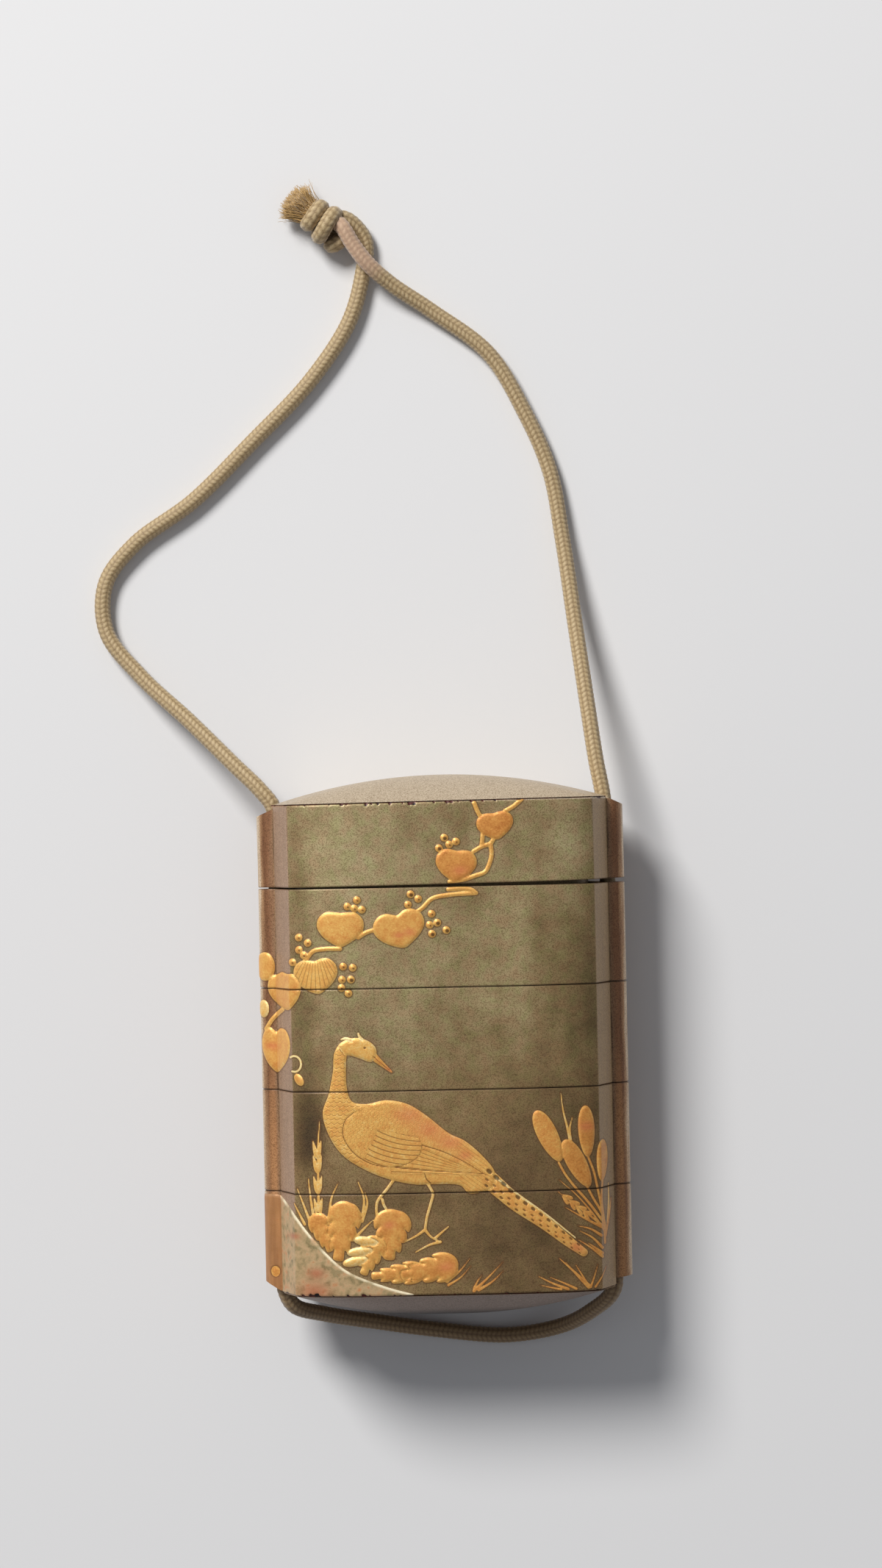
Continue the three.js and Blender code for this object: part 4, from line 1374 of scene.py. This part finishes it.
# %% Which way is out
outward = np.roll(outline, -1, axis=0) - np.roll(outline, 1, axis=0)
outward = np.column_stack([outward[:, 1], -outward[:, 0]])
outward /= np.linalg.norm(outward, axis=1)[:, None]
outline_angle = np.arctan2(outline[:, 1] - MID, outline[:, 0])
outline_radius = np.hypot(outline[:, 0], outline[:, 1] - MID)
by_angle = np.argsort(outline_angle)


def around(values, angle):
    """Values given on the outline's points, read at other angles about the axis."""
    return np.interp(angle, outline_angle[by_angle], values[by_angle], period=2 * np.pi)


print("radius over the middle of the face:", around(outline_radius, 0.5 * np.pi).round(2), "mm")

# %% Chips in the rims
CHIP_DEPTH = 0.16
CHIP_EDGE = 0.12


def ripple(places, wavelengths, seed):
    """A smooth uneven line about -1 to 1, from a few waves with fixed random shifts."""
    shifts = np.random.default_rng(seed).uniform(0, 2 * np.pi, len(wavelengths))
    waves = [np.sin(2 * np.pi * places / w + shift) for w, shift in zip(wavelengths, shifts)]
    return np.sum(waves, axis=0) / len(wavelengths) ** 0.5 / 1.2


def rim_chips(x, from_rim, top):
    """How far the lacquer is chipped near the top or bottom rim, 0 to 1."""
    if top:
        worn = 0.25 + 0.75 * np.exp(-(((x + 5) / 11) ** 2)) + 0.9 * np.exp(-(((x - 26) / 2.6) ** 2))
        uneven = ripple(x, (0.9, 1.7, 3.1, 5.3), 11)
    else:
        worn = 0.35 + 0.65 * np.exp(-(((x + 18) / 7) ** 2))
        uneven = ripple(x, (1.1, 2.3, 4.1, 7.0), 23)
    reach = 0.16 + 0.5 * worn * np.clip(uneven, 0, 1)
    return np.clip((reach - from_rim) / CHIP_EDGE, 0, 1)


rim_x = np.linspace(-HALF_WIDTH, HALF_WIDTH, 500)
print("share of the top rim that is chipped deep:", (rim_chips(rim_x, 0.3, True) > 0.5).mean())

# %% Raised picture
SKIN_DEPTH = 0.45
FADE_FROM = 0.02
FADE_OVER = 0.2
EDGE_FAR = 3.0
EMPTY_PICTURE = {
    "depth": -REACH, "ink": -REACH, "bank": -REACH, "tone": 0.5, "feather": 0.5,
    "hatch": 0.0, "blush": 0.0, "shade": 0.5,
}


def read_all(items, name):
    """A three-number property of all points or faces of a mesh, as rows."""
    values = np.zeros(3 * len(items))
    items.foreach_get(name, values)
    return values.reshape(-1, 3)


def raise_picture(mesh, number):
    """Pushes the wall's points out by the picture and in by the chips, keeps what the colours
    need on them, and tells which points are on the outer wall."""
    co = read_all(mesh.vertices, "co") / MM
    x, y, z = co.T
    bottom, top = wall_span(number)
    angle = np.arctan2(z - MID, x)
    gap = around(outline_radius, angle) - np.hypot(x, z - MID)
    skin = (gap < SKIN_DEPTH) & (y > bottom - 0.01) & (y < top + 0.01)
    normal_x, normal_z = around(outward[:, 0], angle), around(outward[:, 1], angle)
    front = skin & (normal_z > FADE_FROM)
    picture, rise = picture_at(co[front][:, :2])
    for name, values in picture.items():
        whole = np.full(len(co), EMPTY_PICTURE[name])
        whole[front] = values
        keep_number(mesh, name, whole)
    chip = np.zeros(len(co))
    if number in (0, BOX_COUNT):
        from_rim = top - y if number == 0 else y - bottom
        chip = np.where(skin & (z > MID), rim_chips(x, from_rim, number == 0), 0)
    keep_number(mesh, "chip", chip)
    keep_number(mesh, "edge", np.where(skin, np.minimum(y - bottom, top - y), EDGE_FAR))
    shift = np.zeros(len(co))
    shift[front] = rise * np.clip((normal_z[front] - FADE_FROM) / FADE_OVER, 0, 1)
    shift -= CHIP_DEPTH * chip
    co[:, 0] += shift * normal_x
    co[:, 2] += shift * normal_z
    if number == 0:
        co[:, :2] = turned(co[:, :2] - LID_PIVOT, *LID_PIVOT, LID_TURN)
    co[:, 2] = np.clip(co[:, 2], 0, None)
    mesh.vertices.foreach_set("co", (co * MM).ravel())
    mesh.update()
    return skin


print("picture kept as", ", ".join(EMPTY_PICTURE))

# %% Outside and inside faces
MATERIAL_OUTSIDE, MATERIAL_INSIDE = 0, 1
SMOOTH_BELOW = math.radians(50)


def part_faces(mesh, skin):
    """Gives the outer wall and the domes the outside lacquer, and the rest the inside one."""
    centres, normals = read_all(mesh.polygons, "center") / MM, read_all(mesh.polygons, "normal")
    on_wall = np.array([skin[f.vertices[0]] and skin[f.vertices[-1]] for f in mesh.polygons])
    level_end = np.abs(normals[:, 1]) > 0.95
    on_dome = (np.abs(centres[:, 1]) > RIM - 0.05) & (normals[:, 1] * centres[:, 1] > 0)
    outside = (on_wall & ~level_end) | on_dome
    mesh.polygons.foreach_set("material_index", np.where(outside, MATERIAL_OUTSIDE, MATERIAL_INSIDE))
    return outside


for number, piece in enumerate(sections):
    skin = raise_picture(piece.data, number)
    outside = part_faces(piece.data, skin)
    clear_selection()
    piece.select_set(True)
    bpy.context.view_layer.objects.active = piece
    bpy.ops.object.shade_smooth_by_angle(angle=SMOOTH_BELOW)
    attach(piece, "root")
    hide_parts("lid" if number == 0 else f"box_{number}")
    print(piece.name, int(skin.sum()), "wall points,", int(outside.sum()), "outside faces")

# %% [markdown]
# ## Lacquer
# The ground is gold dust sprinkled on dark lacquer and polished: countless bright grains
# with dark gaps, cloudy from place to place. The same dust, thinner, is on the inside.
# The figures are solid gold powder, warmer and brighter, with fine dark lines where the
# lacquer shows. The pattern of grains is one node group, placed in each material with its
# own values.

# %% Helpers for shader nodes


def colour(red, green, blue):
    """A colour given as 0 to 255 on screen, as the shader wants it."""
    return tuple((v / 255) ** 2.2 for v in (red, green, blue)) + (1.0,)


def add_node(tree, kind, **settings):
    """A new node of that kind with its settings."""
    made = tree.nodes.new(kind)
    for name, value in settings.items():
        setattr(made, name, value)
    return made


def feed(tree, socket, value):
    """Links another node's output to a socket, or sets a plain value on it."""
    if isinstance(value, bpy.types.NodeSocket):
        tree.links.new(value, socket)
    else:
        socket.default_value = value


def maths(tree, operation, *values, clamp=False):
    """The result of one Math node."""
    made = add_node(tree, "ShaderNodeMath", operation=operation, use_clamp=clamp)
    for socket, value in zip(made.inputs, values):
        feed(tree, socket, value)
    return made.outputs[0]


def plus(tree, first, second):
    return maths(tree, "ADD", first, second)


def minus(tree, first, second):
    return maths(tree, "SUBTRACT", first, second)


def times(tree, first, second):
    return maths(tree, "MULTIPLY", first, second)


def opposite(tree, share):
    """0 for 1 and 1 for 0."""
    return minus(tree, 1.0, share)


def swing(tree, pattern, amount):
    """A pattern of 0 to 1 made to swing about 0 by that amount in all."""
    return times(tree, minus(tree, pattern, 0.5), amount)


print("number helpers ready")

# %% Helpers for colours and patterns


def mixed(tree, share, first, second, blend="MIX"):
    """The second colour laid over the first by a share of 0 to 1."""
    made = add_node(tree, "ShaderNodeMix", data_type="RGBA", blend_type=blend)
    feed(tree, made.inputs["Factor"], share)
    feed(tree, made.inputs[6], first)
    feed(tree, made.inputs[7], second)
    return made.outputs[2]


def ramp(tree, value, stops):
    """Colours by value, from stops of (value, colour)."""
    made = add_node(tree, "ShaderNodeValToRGB")
    elements = made.color_ramp.elements
    while len(elements) < len(stops):
        elements.new(0.5)
    for element, (place, shade) in zip(elements, stops):
        element.position = place
        element.color = shade
    feed(tree, made.inputs[0], value)
    return made.outputs[0]


def stepped(tree, value, low, high):
    """0 below low, 1 above high and smooth between them."""
    made = add_node(tree, "ShaderNodeMapRange", interpolation_type="SMOOTHSTEP")
    for socket, given in zip(made.inputs, (value, low, high, 0.0, 1.0)):
        feed(tree, socket, given)
    return made.outputs[0]


def kept(tree, name):
    """A value that the mesh keeps on its points."""
    return add_node(tree, "ShaderNodeAttribute", attribute_name=name).outputs["Fac"]


def noise(tree, place, scale, detail=2.0):
    """Soft clouds of 0 to 1. The scale is in clouds to a metre."""
    made = add_node(tree, "ShaderNodeTexNoise")
    feed(tree, made.inputs["Vector"], place)
    made.inputs["Scale"].default_value = scale
    made.inputs["Detail"].default_value = detail
    return made.outputs["Fac"]


def new_material(name):
    """A material with its node tree and its Principled shader."""
    made = bpy.data.materials.new(name)
    made.use_nodes = True
    tree = made.node_tree
    return made, tree, tree.nodes["Principled BSDF"]


def set_plain(shader, values):
    """Sets what is the same all over the surface."""
    for label, value in values.items():
        shader.inputs[label].default_value = value


def add_bump(tree, shader, height, depth):
    """Fine grain that is too small for the mesh, as deep as given."""
    bump = add_node(tree, "ShaderNodeBump")
    bump.inputs["Strength"].default_value = 0.5
    bump.inputs["Distance"].default_value = depth
    tree.links.new(height, bump.inputs["Height"])
    tree.links.new(bump.outputs["Normal"], shader.inputs["Normal"])


print("colour helpers ready")

# %% Helpers for node groups


def new_group(name, inputs, outputs):
    """A node group with its inputs and outputs, each given as (label, kind of socket)."""
    tree = bpy.data.node_groups.new(name, "ShaderNodeTree")
    for label, kind in inputs:
        tree.interface.new_socket(label, in_out="INPUT", socket_type=kind)
    for label, kind in outputs:
        tree.interface.new_socket(label, in_out="OUTPUT", socket_type=kind)
    return tree, tree.nodes.new("NodeGroupInput"), tree.nodes.new("NodeGroupOutput")


def place_group(tree, group, values):
    """The outputs of a group placed in a material with its own values."""
    made = add_node(tree, "ShaderNodeGroup", node_tree=group)
    for label, value in values.items():
        feed(tree, made.inputs[label], value)
    return made.outputs


print("group helpers ready")

# %% [markdown]
# ### Gold dust
# A picture of the dust would need a very large image, so a pattern makes it. Each cell of
# a Voronoi pattern is one grain with a brightness of its own. Noise adds that the grains
# lie closer in some places, and the density says how many of them show.

# %% Gold dust
GRAIN_SOFTNESS = 0.22
CLOUD_SCALE = 260.0
dust_group, dust_in, dust_out = new_group(
    "gold_dust",
    [
        ("Place", "NodeSocketVector"), ("Grain Scale", "NodeSocketFloat"),
        ("Density", "NodeSocketFloat"),
    ],
    [("Grains", "NodeSocketFloat"), ("Clouds", "NodeSocketFloat")],
)
dust_place, grain_scale, density = dust_in.outputs[:3]
grain_cells = add_node(dust_group, "ShaderNodeTexVoronoi", feature="F1")
feed(dust_group, grain_cells.inputs["Vector"], dust_place)
feed(dust_group, grain_cells.inputs["Scale"], grain_scale)
grain_tone = add_node(dust_group, "ShaderNodeSeparateColor")
feed(dust_group, grain_tone.inputs[0], grain_cells.outputs["Color"])
grain_noise = add_node(dust_group, "ShaderNodeTexNoise")
feed(dust_group, grain_noise.inputs["Vector"], dust_place)
feed(dust_group, grain_noise.inputs["Scale"], times(dust_group, grain_scale, 0.55))
sprinkled = plus(
    dust_group,
    times(dust_group, grain_tone.outputs[0], 0.55),
    times(dust_group, grain_noise.outputs["Fac"], 0.9),
)
bare = minus(dust_group, 1.25, density)
bare_below = minus(dust_group, bare, GRAIN_SOFTNESS)
full_above = plus(dust_group, bare, GRAIN_SOFTNESS)
feed(dust_group, dust_out.inputs["Grains"], stepped(dust_group, sprinkled, bare_below, full_above))
feed(dust_group, dust_out.inputs["Clouds"], noise(dust_group, dust_place, CLOUD_SCALE, 4.0))
print("gold dust group:", len(dust_group.nodes), "nodes")

# %% [markdown]
# ### Zones of the case
# The shoulders, runners and domes get other colours than the face: painted reflections on the
# shoulders and domes, and on the runners a worn reddish lacquer with painted shade and a painted
# reflection. Each zone is a mask worked out from a point's place, so one material covers the whole
# outside. The streaks are noise stretched along the case.

# %% Zones of the case
ZONE_NAMES = (
    "Shoulder", "Runner", "Runner Share", "Right", "Lower Part", "Top Dome", "Bottom Dome",
    "Dome Limb", "Streaks",
)
STREAK_SCALE = 1100.0
STREAK_STRETCH = (1.0, 0.1, 1.0)
zones, zone_in, zone_out = new_group(
    "case_zones",
    [("Place", "NodeSocketVector")],
    [(name, "NodeSocketFloat") for name in ZONE_NAMES],
)
axes = add_node(zones, "ShaderNodeSeparateXYZ")
feed(zones, axes.inputs[0], zone_in.outputs["Place"])
across = times(zones, maths(zones, "ABSOLUTE", axes.outputs["X"]), 1 / MM)
up = times(zones, axes.outputs["Y"], 1 / MM)
on_runner = stepped(zones, across, RUNNER_X, RUNNER_X + 0.25)
past_face = stepped(zones, across, FACE_EDGE - 0.15, FACE_EDGE + 0.05)
squeezed = add_node(zones, "ShaderNodeVectorMath", operation="MULTIPLY")
feed(zones, squeezed.inputs[0], zone_in.outputs["Place"])
squeezed.inputs[1].default_value = STREAK_STRETCH
zone_masks = {
    "Shoulder": minus(zones, past_face, on_runner),
    "Runner": on_runner,
    "Runner Share": times(zones, minus(zones, across, RUNNER_X), 1 / RUNNER_RADIUS),
    "Right": stepped(zones, axes.outputs["X"], -MM, MM),
    "Lower Part": stepped(zones, times(zones, up, -1.0), -4.0, 16.0),
    "Top Dome": stepped(zones, up, RIM - 0.02, RIM + 0.1),
    "Bottom Dome": opposite(zones, stepped(zones, up, -RIM - 0.1, -RIM + 0.02)),
    "Dome Limb": opposite(zones, stepped(zones, up, -RIM - DOME_RISE + 0.1, -RIM - 2.2)),
    "Streaks": noise(zones, squeezed.outputs[0], STREAK_SCALE, 3.0),
}
for name, mask in zone_masks.items():
    feed(zones, zone_out.inputs[name], mask)
print("zones of the case:", len(zones.nodes), "nodes")

# %% [markdown]
# ### Colours of the ground, the bank and the gold
# The ground runs from bare dark lacquer to thick pale dust. On the runners the dust is worn through
# to a reddish lacquer, with painted shade in the crease at their inner edge and a painted reflection
# as a pale outer edge. The shoulders and domes carry painted reflections: pale on the top dome, grey
# on the bottom one, which darkens to a painted dark limb. The bank is tan with patches of green and
# rust and a painted highlight along its edge, and the gold runs from a deep orange at the worn places
# to a pale gold, with a painted highlight just inside each figure's edge.

# %% Ground of gold dust


def face_colours(tree, place, dust, zone):
    """The dust of the faces, lighter or darker by the kept shade, which holds painted streaks and
    edge shade, with a breath of green and rose.
    """
    shade = plus(tree, kept(tree, "shade"), swing(tree, dust["Clouds"], 0.42))
    ground = ramp(tree, shade, [
        (0.0, colour(52, 44, 32)), (0.3, colour(108, 88, 58)), (0.55, colour(150, 128, 90)),
        (0.8, colour(188, 168, 128)), (1.0, colour(212, 194, 156)),
    ])
    hue = ramp(tree, noise(tree, place, 620.0, 2.0), [
        (0.34, colour(250, 241, 238)), (0.5, colour(245, 246, 240)), (0.66, colour(238, 250, 232)),
    ])
    hue = mixed(tree, times(tree, zone["Lower Part"], 0.55), hue, colour(254, 238, 226))
    return mixed(tree, 1.0, ground, hue, "MULTIPLY")


def runner_colours(tree, zone):
    """The worn runners: reddish brown, with painted shade in the crease at their inner edge, a pale
    outer edge that is a painted reflection, and a lighter strip low down.
    """
    share = zone["Runner Share"]
    # Painted shade darkens the crease at the runner's inner edge, and a painted reflection makes its
    # outer edge pale.
    runner = ramp(tree, plus(tree, share, swing(tree, zone["Streaks"], 0.5)), [
        (0.02, colour(84, 58, 40)), (0.1, colour(164, 128, 96)), (0.35, colour(152, 108, 76)),
        (0.6, colour(132, 90, 60)), (0.82, colour(180, 138, 98)), (0.97, colour(226, 204, 174)),
    ])
    strip = times(tree, stepped(tree, share, 0.1, 0.3), zone["Lower Part"])
    strip = maths(tree, "SUBTRACT", strip, stepped(tree, share, 0.5, 0.75), clamp=True)
    return mixed(tree, times(tree, strip, 0.7), runner, colour(206, 150, 100))


def ground_colours(tree, place, dust, zone):
    """The ground's colours over the face, the shoulders, the runners and the domes, with their
    painted reflections and shade.
    """
    # Painted reflection: the shoulders are lighter and greyer than the face, rosier on the left and
    # yellower on the right.
    shoulder = mixed(tree, zone["Right"], colour(190, 156, 128), colour(176, 144, 94))
    shoulder = mixed(tree, times(tree, zone["Streaks"], 0.7), shoulder, colour(140, 112, 88))
    ground = mixed(tree, zone["Shoulder"], face_colours(tree, place, dust, zone), shoulder)
    ground = mixed(tree, zone["Runner"], ground, runner_colours(tree, zone))
    # Painted reflection: the top dome is a pale even tan, as it reflects the bright light above.
    ground = mixed(tree, zone["Top Dome"], ground, colour(199, 181, 155))
    # Painted reflection and shade: the bottom dome is grey, as it reflects the shaded table, and
    # darkens to a painted dark limb.
    below = mixed(tree, zone["Dome Limb"], colour(136, 116, 104), colour(44, 32, 28))
    ground = mixed(tree, zone["Bottom Dome"], ground, below)
    darker = mixed(tree, 1.0, ground, colour(200, 192, 182), "MULTIPLY")
    return mixed(tree, dust["Grains"], darker, ground)


print("ground colours are worked out from the dust and the zones")

# %% Bank and gold


def bank_colours(tree, place, zone, ground):
    """The bank's tan dust with patches of other colours and a painted highlight as a pale line along
    its edge.
    """
    tan = ramp(tree, noise(tree, place, 900.0, 4.0), [
        (0.3, colour(140, 124, 86)), (0.42, colour(180, 154, 112)), (0.56, colour(200, 168, 126)),
        (0.66, colour(200, 154, 110)), (0.74, colour(206, 130, 82)),
    ])
    green = stepped(tree, noise(tree, place, 640.0, 3.0), 0.54, 0.68)
    tan = mixed(tree, times(tree, green, 0.55), tan, colour(132, 124, 84))
    bank = kept(tree, "bank")
    deeper = opposite(tree, stepped(tree, bank, 0.16, 0.5))
    # Painted highlight: a broken pale line just inside the bank's raised edge.
    edge_highlight = times(tree, stepped(tree, bank, -0.02, 0.06), deeper)
    broken = stepped(tree, noise(tree, place, 300.0, 2.0), 0.36, 0.56)
    tan = mixed(tree, times(tree, edge_highlight, broken), tan, colour(250, 236, 200))
    tan = mixed(tree, times(tree, kept(tree, "blush"), 0.7), tan, colour(188, 104, 72))
    orange = mixed(tree, zone["Streaks"], colour(120, 72, 40), colour(214, 152, 96))
    tan = mixed(tree, times(tree, zone["Runner"], 0.9), tan, orange)
    return mixed(tree, stepped(tree, bank, -0.04, 0.05), ground, tan)


def gold_colours(tree, place):
    """The gold of the raised figures, from a deep orange to a pale gold."""
    broad = swing(tree, noise(tree, place, 700.0, 3.0), 0.6)
    fine = swing(tree, noise(tree, place, 3400.0, 2.0), 0.6)
    gold = ramp(tree, plus(tree, kept(tree, "tone"), plus(tree, broad, fine)), [
        (0.0, colour(192, 118, 52)), (0.3, colour(222, 152, 76)), (0.6, colour(238, 184, 98)),
        (1.0, colour(252, 228, 162)),
    ])
    return mixed(tree, times(tree, kept(tree, "blush"), 0.55), gold, colour(226, 124, 84))


print("bank and gold colours are worked out from the picture kept on the points")

# %% [markdown]
# ### The outside lacquer
# The layers are laid as on the real case: the ground, the bank, a narrow shadow round each
# figure, its gold, and the dark cut lines. Last come wear at the seams, and the chips, which
# show black and red lacquer below the dust. The lacquer has only a soft shine, because the
# dust is rough.

# %% Outside lacquer
outside_lacquer, tree, shader = new_material("gold_dust_and_raised_gold")
place = add_node(tree, "ShaderNodeTexCoord").outputs["Object"]
dust = place_group(tree, dust_group, {"Place": place, "Grain Scale": 9000.0, "Density": 0.6})
zone = place_group(tree, zones, {"Place": place})
surface = bank_colours(tree, place, zone, ground_colours(tree, place, dust, zone))
depth = kept(tree, "depth")
rim_shadow = times(tree, stepped(tree, depth, -0.28, -0.02), 0.6)
surface = mixed(tree, rim_shadow, surface, colour(104, 66, 36))
on_figure = stepped(tree, depth, GOLD_BEGINS, 0.04)
surface = mixed(tree, on_figure, surface, gold_colours(tree, place))

feather = kept(tree, "feather")
from_line = maths(tree, "ABSOLUTE", minus(tree, feather, maths(tree, "ROUND", feather)))
fine_line = times(tree, opposite(tree, stepped(tree, from_line, 0.03, 0.17)), kept(tree, "hatch"))
ink = kept(tree, "ink")
cut_line = maths(tree, "MAXIMUM", fine_line, stepped(tree, ink, -0.03, 0.05))
dark_line = times(tree, on_figure, cut_line)
line_colour = mixed(tree, stepped(tree, ink, 0.08, 0.16), colour(116, 74, 34), colour(38, 28, 18))
surface = mixed(tree, times(tree, dark_line, 0.78), surface, line_colour)

edge_dark = opposite(tree, stepped(tree, kept(tree, "edge"), 0.02, 0.22))
surface = mixed(tree, times(tree, edge_dark, 0.5), surface, colour(84, 60, 40))
chip_colour = ramp(tree, noise(tree, place, 1400.0, 2.0), [
    (0.35, colour(24, 18, 16)), (0.55, colour(84, 34, 26)), (0.68, colour(50, 38, 34)),
])
surface = mixed(tree, stepped(tree, kept(tree, "chip"), 0.3, 0.7), surface, chip_colour)
feed(tree, shader.inputs["Base Color"], surface)
set_plain(shader, {
    "Roughness": 0.45, "Metallic": 0.3, "Coat Weight": 0.08, "Coat Roughness": 0.25,
})
grain_height = minus(tree, times(tree, dust["Grains"], 0.3), dark_line)
add_bump(tree, shader, grain_height, 0.06 * MM)
print("outside lacquer:", len(tree.nodes), "nodes")

# %% [markdown]
# ### The inside lacquer
# Inside, the same dust lies thinly on plain dark lacquer. Nothing has rubbed it, so it is
# a little smoother than the outside.

# %% Inside lacquer
inside_lacquer, tree, shader = new_material("dark_inside_lacquer")
place = add_node(tree, "ShaderNodeTexCoord").outputs["Object"]
dust = place_group(tree, dust_group, {"Place": place, "Grain Scale": 5200.0, "Density": 0.3})
thin_dust = mixed(tree, dust["Grains"], colour(30, 22, 18), colour(120, 88, 48))
feed(tree, shader.inputs["Base Color"], thin_dust)
set_plain(shader, {"Roughness": 0.35, "Metallic": 0.1})

for piece in sections:
    piece.data.materials.clear()
    piece.data.materials.append(outside_lacquer)
    piece.data.materials.append(inside_lacquer)
print("lacquers on", len(sections), "sections")

# %% [markdown]
# ## Silk
# The silk is a soft gold brown with a slight sheen. A weave image wrapped round the tube would slide
# over the stitches, so the colours follow the numbers kept on its points: the gaps between stitches
# get painted shade, the cord gets a painted shadow where it runs under the case, and it has faded to
# a rosy grey where its end comes back to the knot. The same fine threads are on the frayed ends, so
# they are a group.

# %% Fine threads of the silk
silk_group, silk_in, silk_out = new_group(
    "silk_threads",
    [("Place", "NodeSocketVector"), ("Thread Scale", "NodeSocketFloat")],
    [("Threads", "NodeSocketFloat")],
)
thread_noise = add_node(silk_group, "ShaderNodeTexNoise")
feed(silk_group, thread_noise.inputs["Vector"], silk_in.outputs["Place"])
feed(silk_group, thread_noise.inputs["Scale"], silk_in.outputs["Thread Scale"])
feed(silk_group, silk_out.inputs["Threads"], thread_noise.outputs["Fac"])
print("silk threads:", len(silk_group.nodes), "nodes")

# %% Silk
THREAD_SCALE = 5200.0
FADED_FROM = CORD_LENGTH / MM - 12.5
FADED_OVER = 4.0
CASE_SHADOW_BEGINS = (178.0, 196.0)
CASE_SHADOW_ENDS = (252.0, 268.0)


def braid_fade_and_shade(tree, base):
    """The braid's silk, with a painted shadow of the case where it runs under it, and faded near the
    knot, by mm along it.
    """
    along = kept(tree, "along")
    faded = stepped(tree, along, FADED_FROM, FADED_FROM + FADED_OVER)
    base = mixed(tree, times(tree, faded, 0.55), base, colour(204, 166, 146))
    # Painted shadow: the cord is darker along the loop under the case, which shades it.
    before_end = opposite(tree, stepped(tree, along, *CASE_SHADOW_ENDS))
    in_case_shadow = times(tree, stepped(tree, along, *CASE_SHADOW_BEGINS), before_end)
    darker = mixed(tree, 1.0, base, colour(150, 122, 96), "MULTIPLY")
    return mixed(tree, times(tree, in_case_shadow, 0.6), base, darker)


def silk_material(name, is_braid):
    """The silk of the braid, or that of the loose threads."""
    made, tree, shader = new_material(name)
    place = add_node(tree, "ShaderNodeTexCoord").outputs["Object"]
    threads = place_group(tree, silk_group, {"Place": place, "Thread Scale": THREAD_SCALE})
    threads = threads["Threads"]
    height = kept(tree, "stitch" if is_braid else "thread")
    # Painted shade: the braid is darker in the gaps between its stitches; the loose threads differ in
    # tone at random.
    base = ramp(tree, plus(tree, times(tree, height, 0.62), times(tree, threads, 0.45)), [
        (0.1, colour(104, 84, 58)), (0.45, colour(158, 134, 98)), (0.75, colour(188, 165, 126)),
        (1.0, colour(212, 192, 154)),
    ])
    if is_braid:
        base = braid_fade_and_shade(tree, base)
    else:
        base = mixed(tree, 0.5, base, colour(206, 160, 84))
    feed(tree, shader.inputs["Base Color"], base)
    set_plain(shader, {"Roughness": 0.62, "Sheen Weight": 0.35, "Sheen Roughness": 0.4})
    add_bump(tree, shader, threads, 0.08 * MM)
    return made


braided_silk = silk_material("braided_silk", True)
for piece in (cord, knot_turns):
    piece.data.materials.append(braided_silk)
frayed_ends.data.materials.append(silk_material("frayed_silk", False))
print("silk on", cord.name, knot_turns.name, frayed_ends.name)
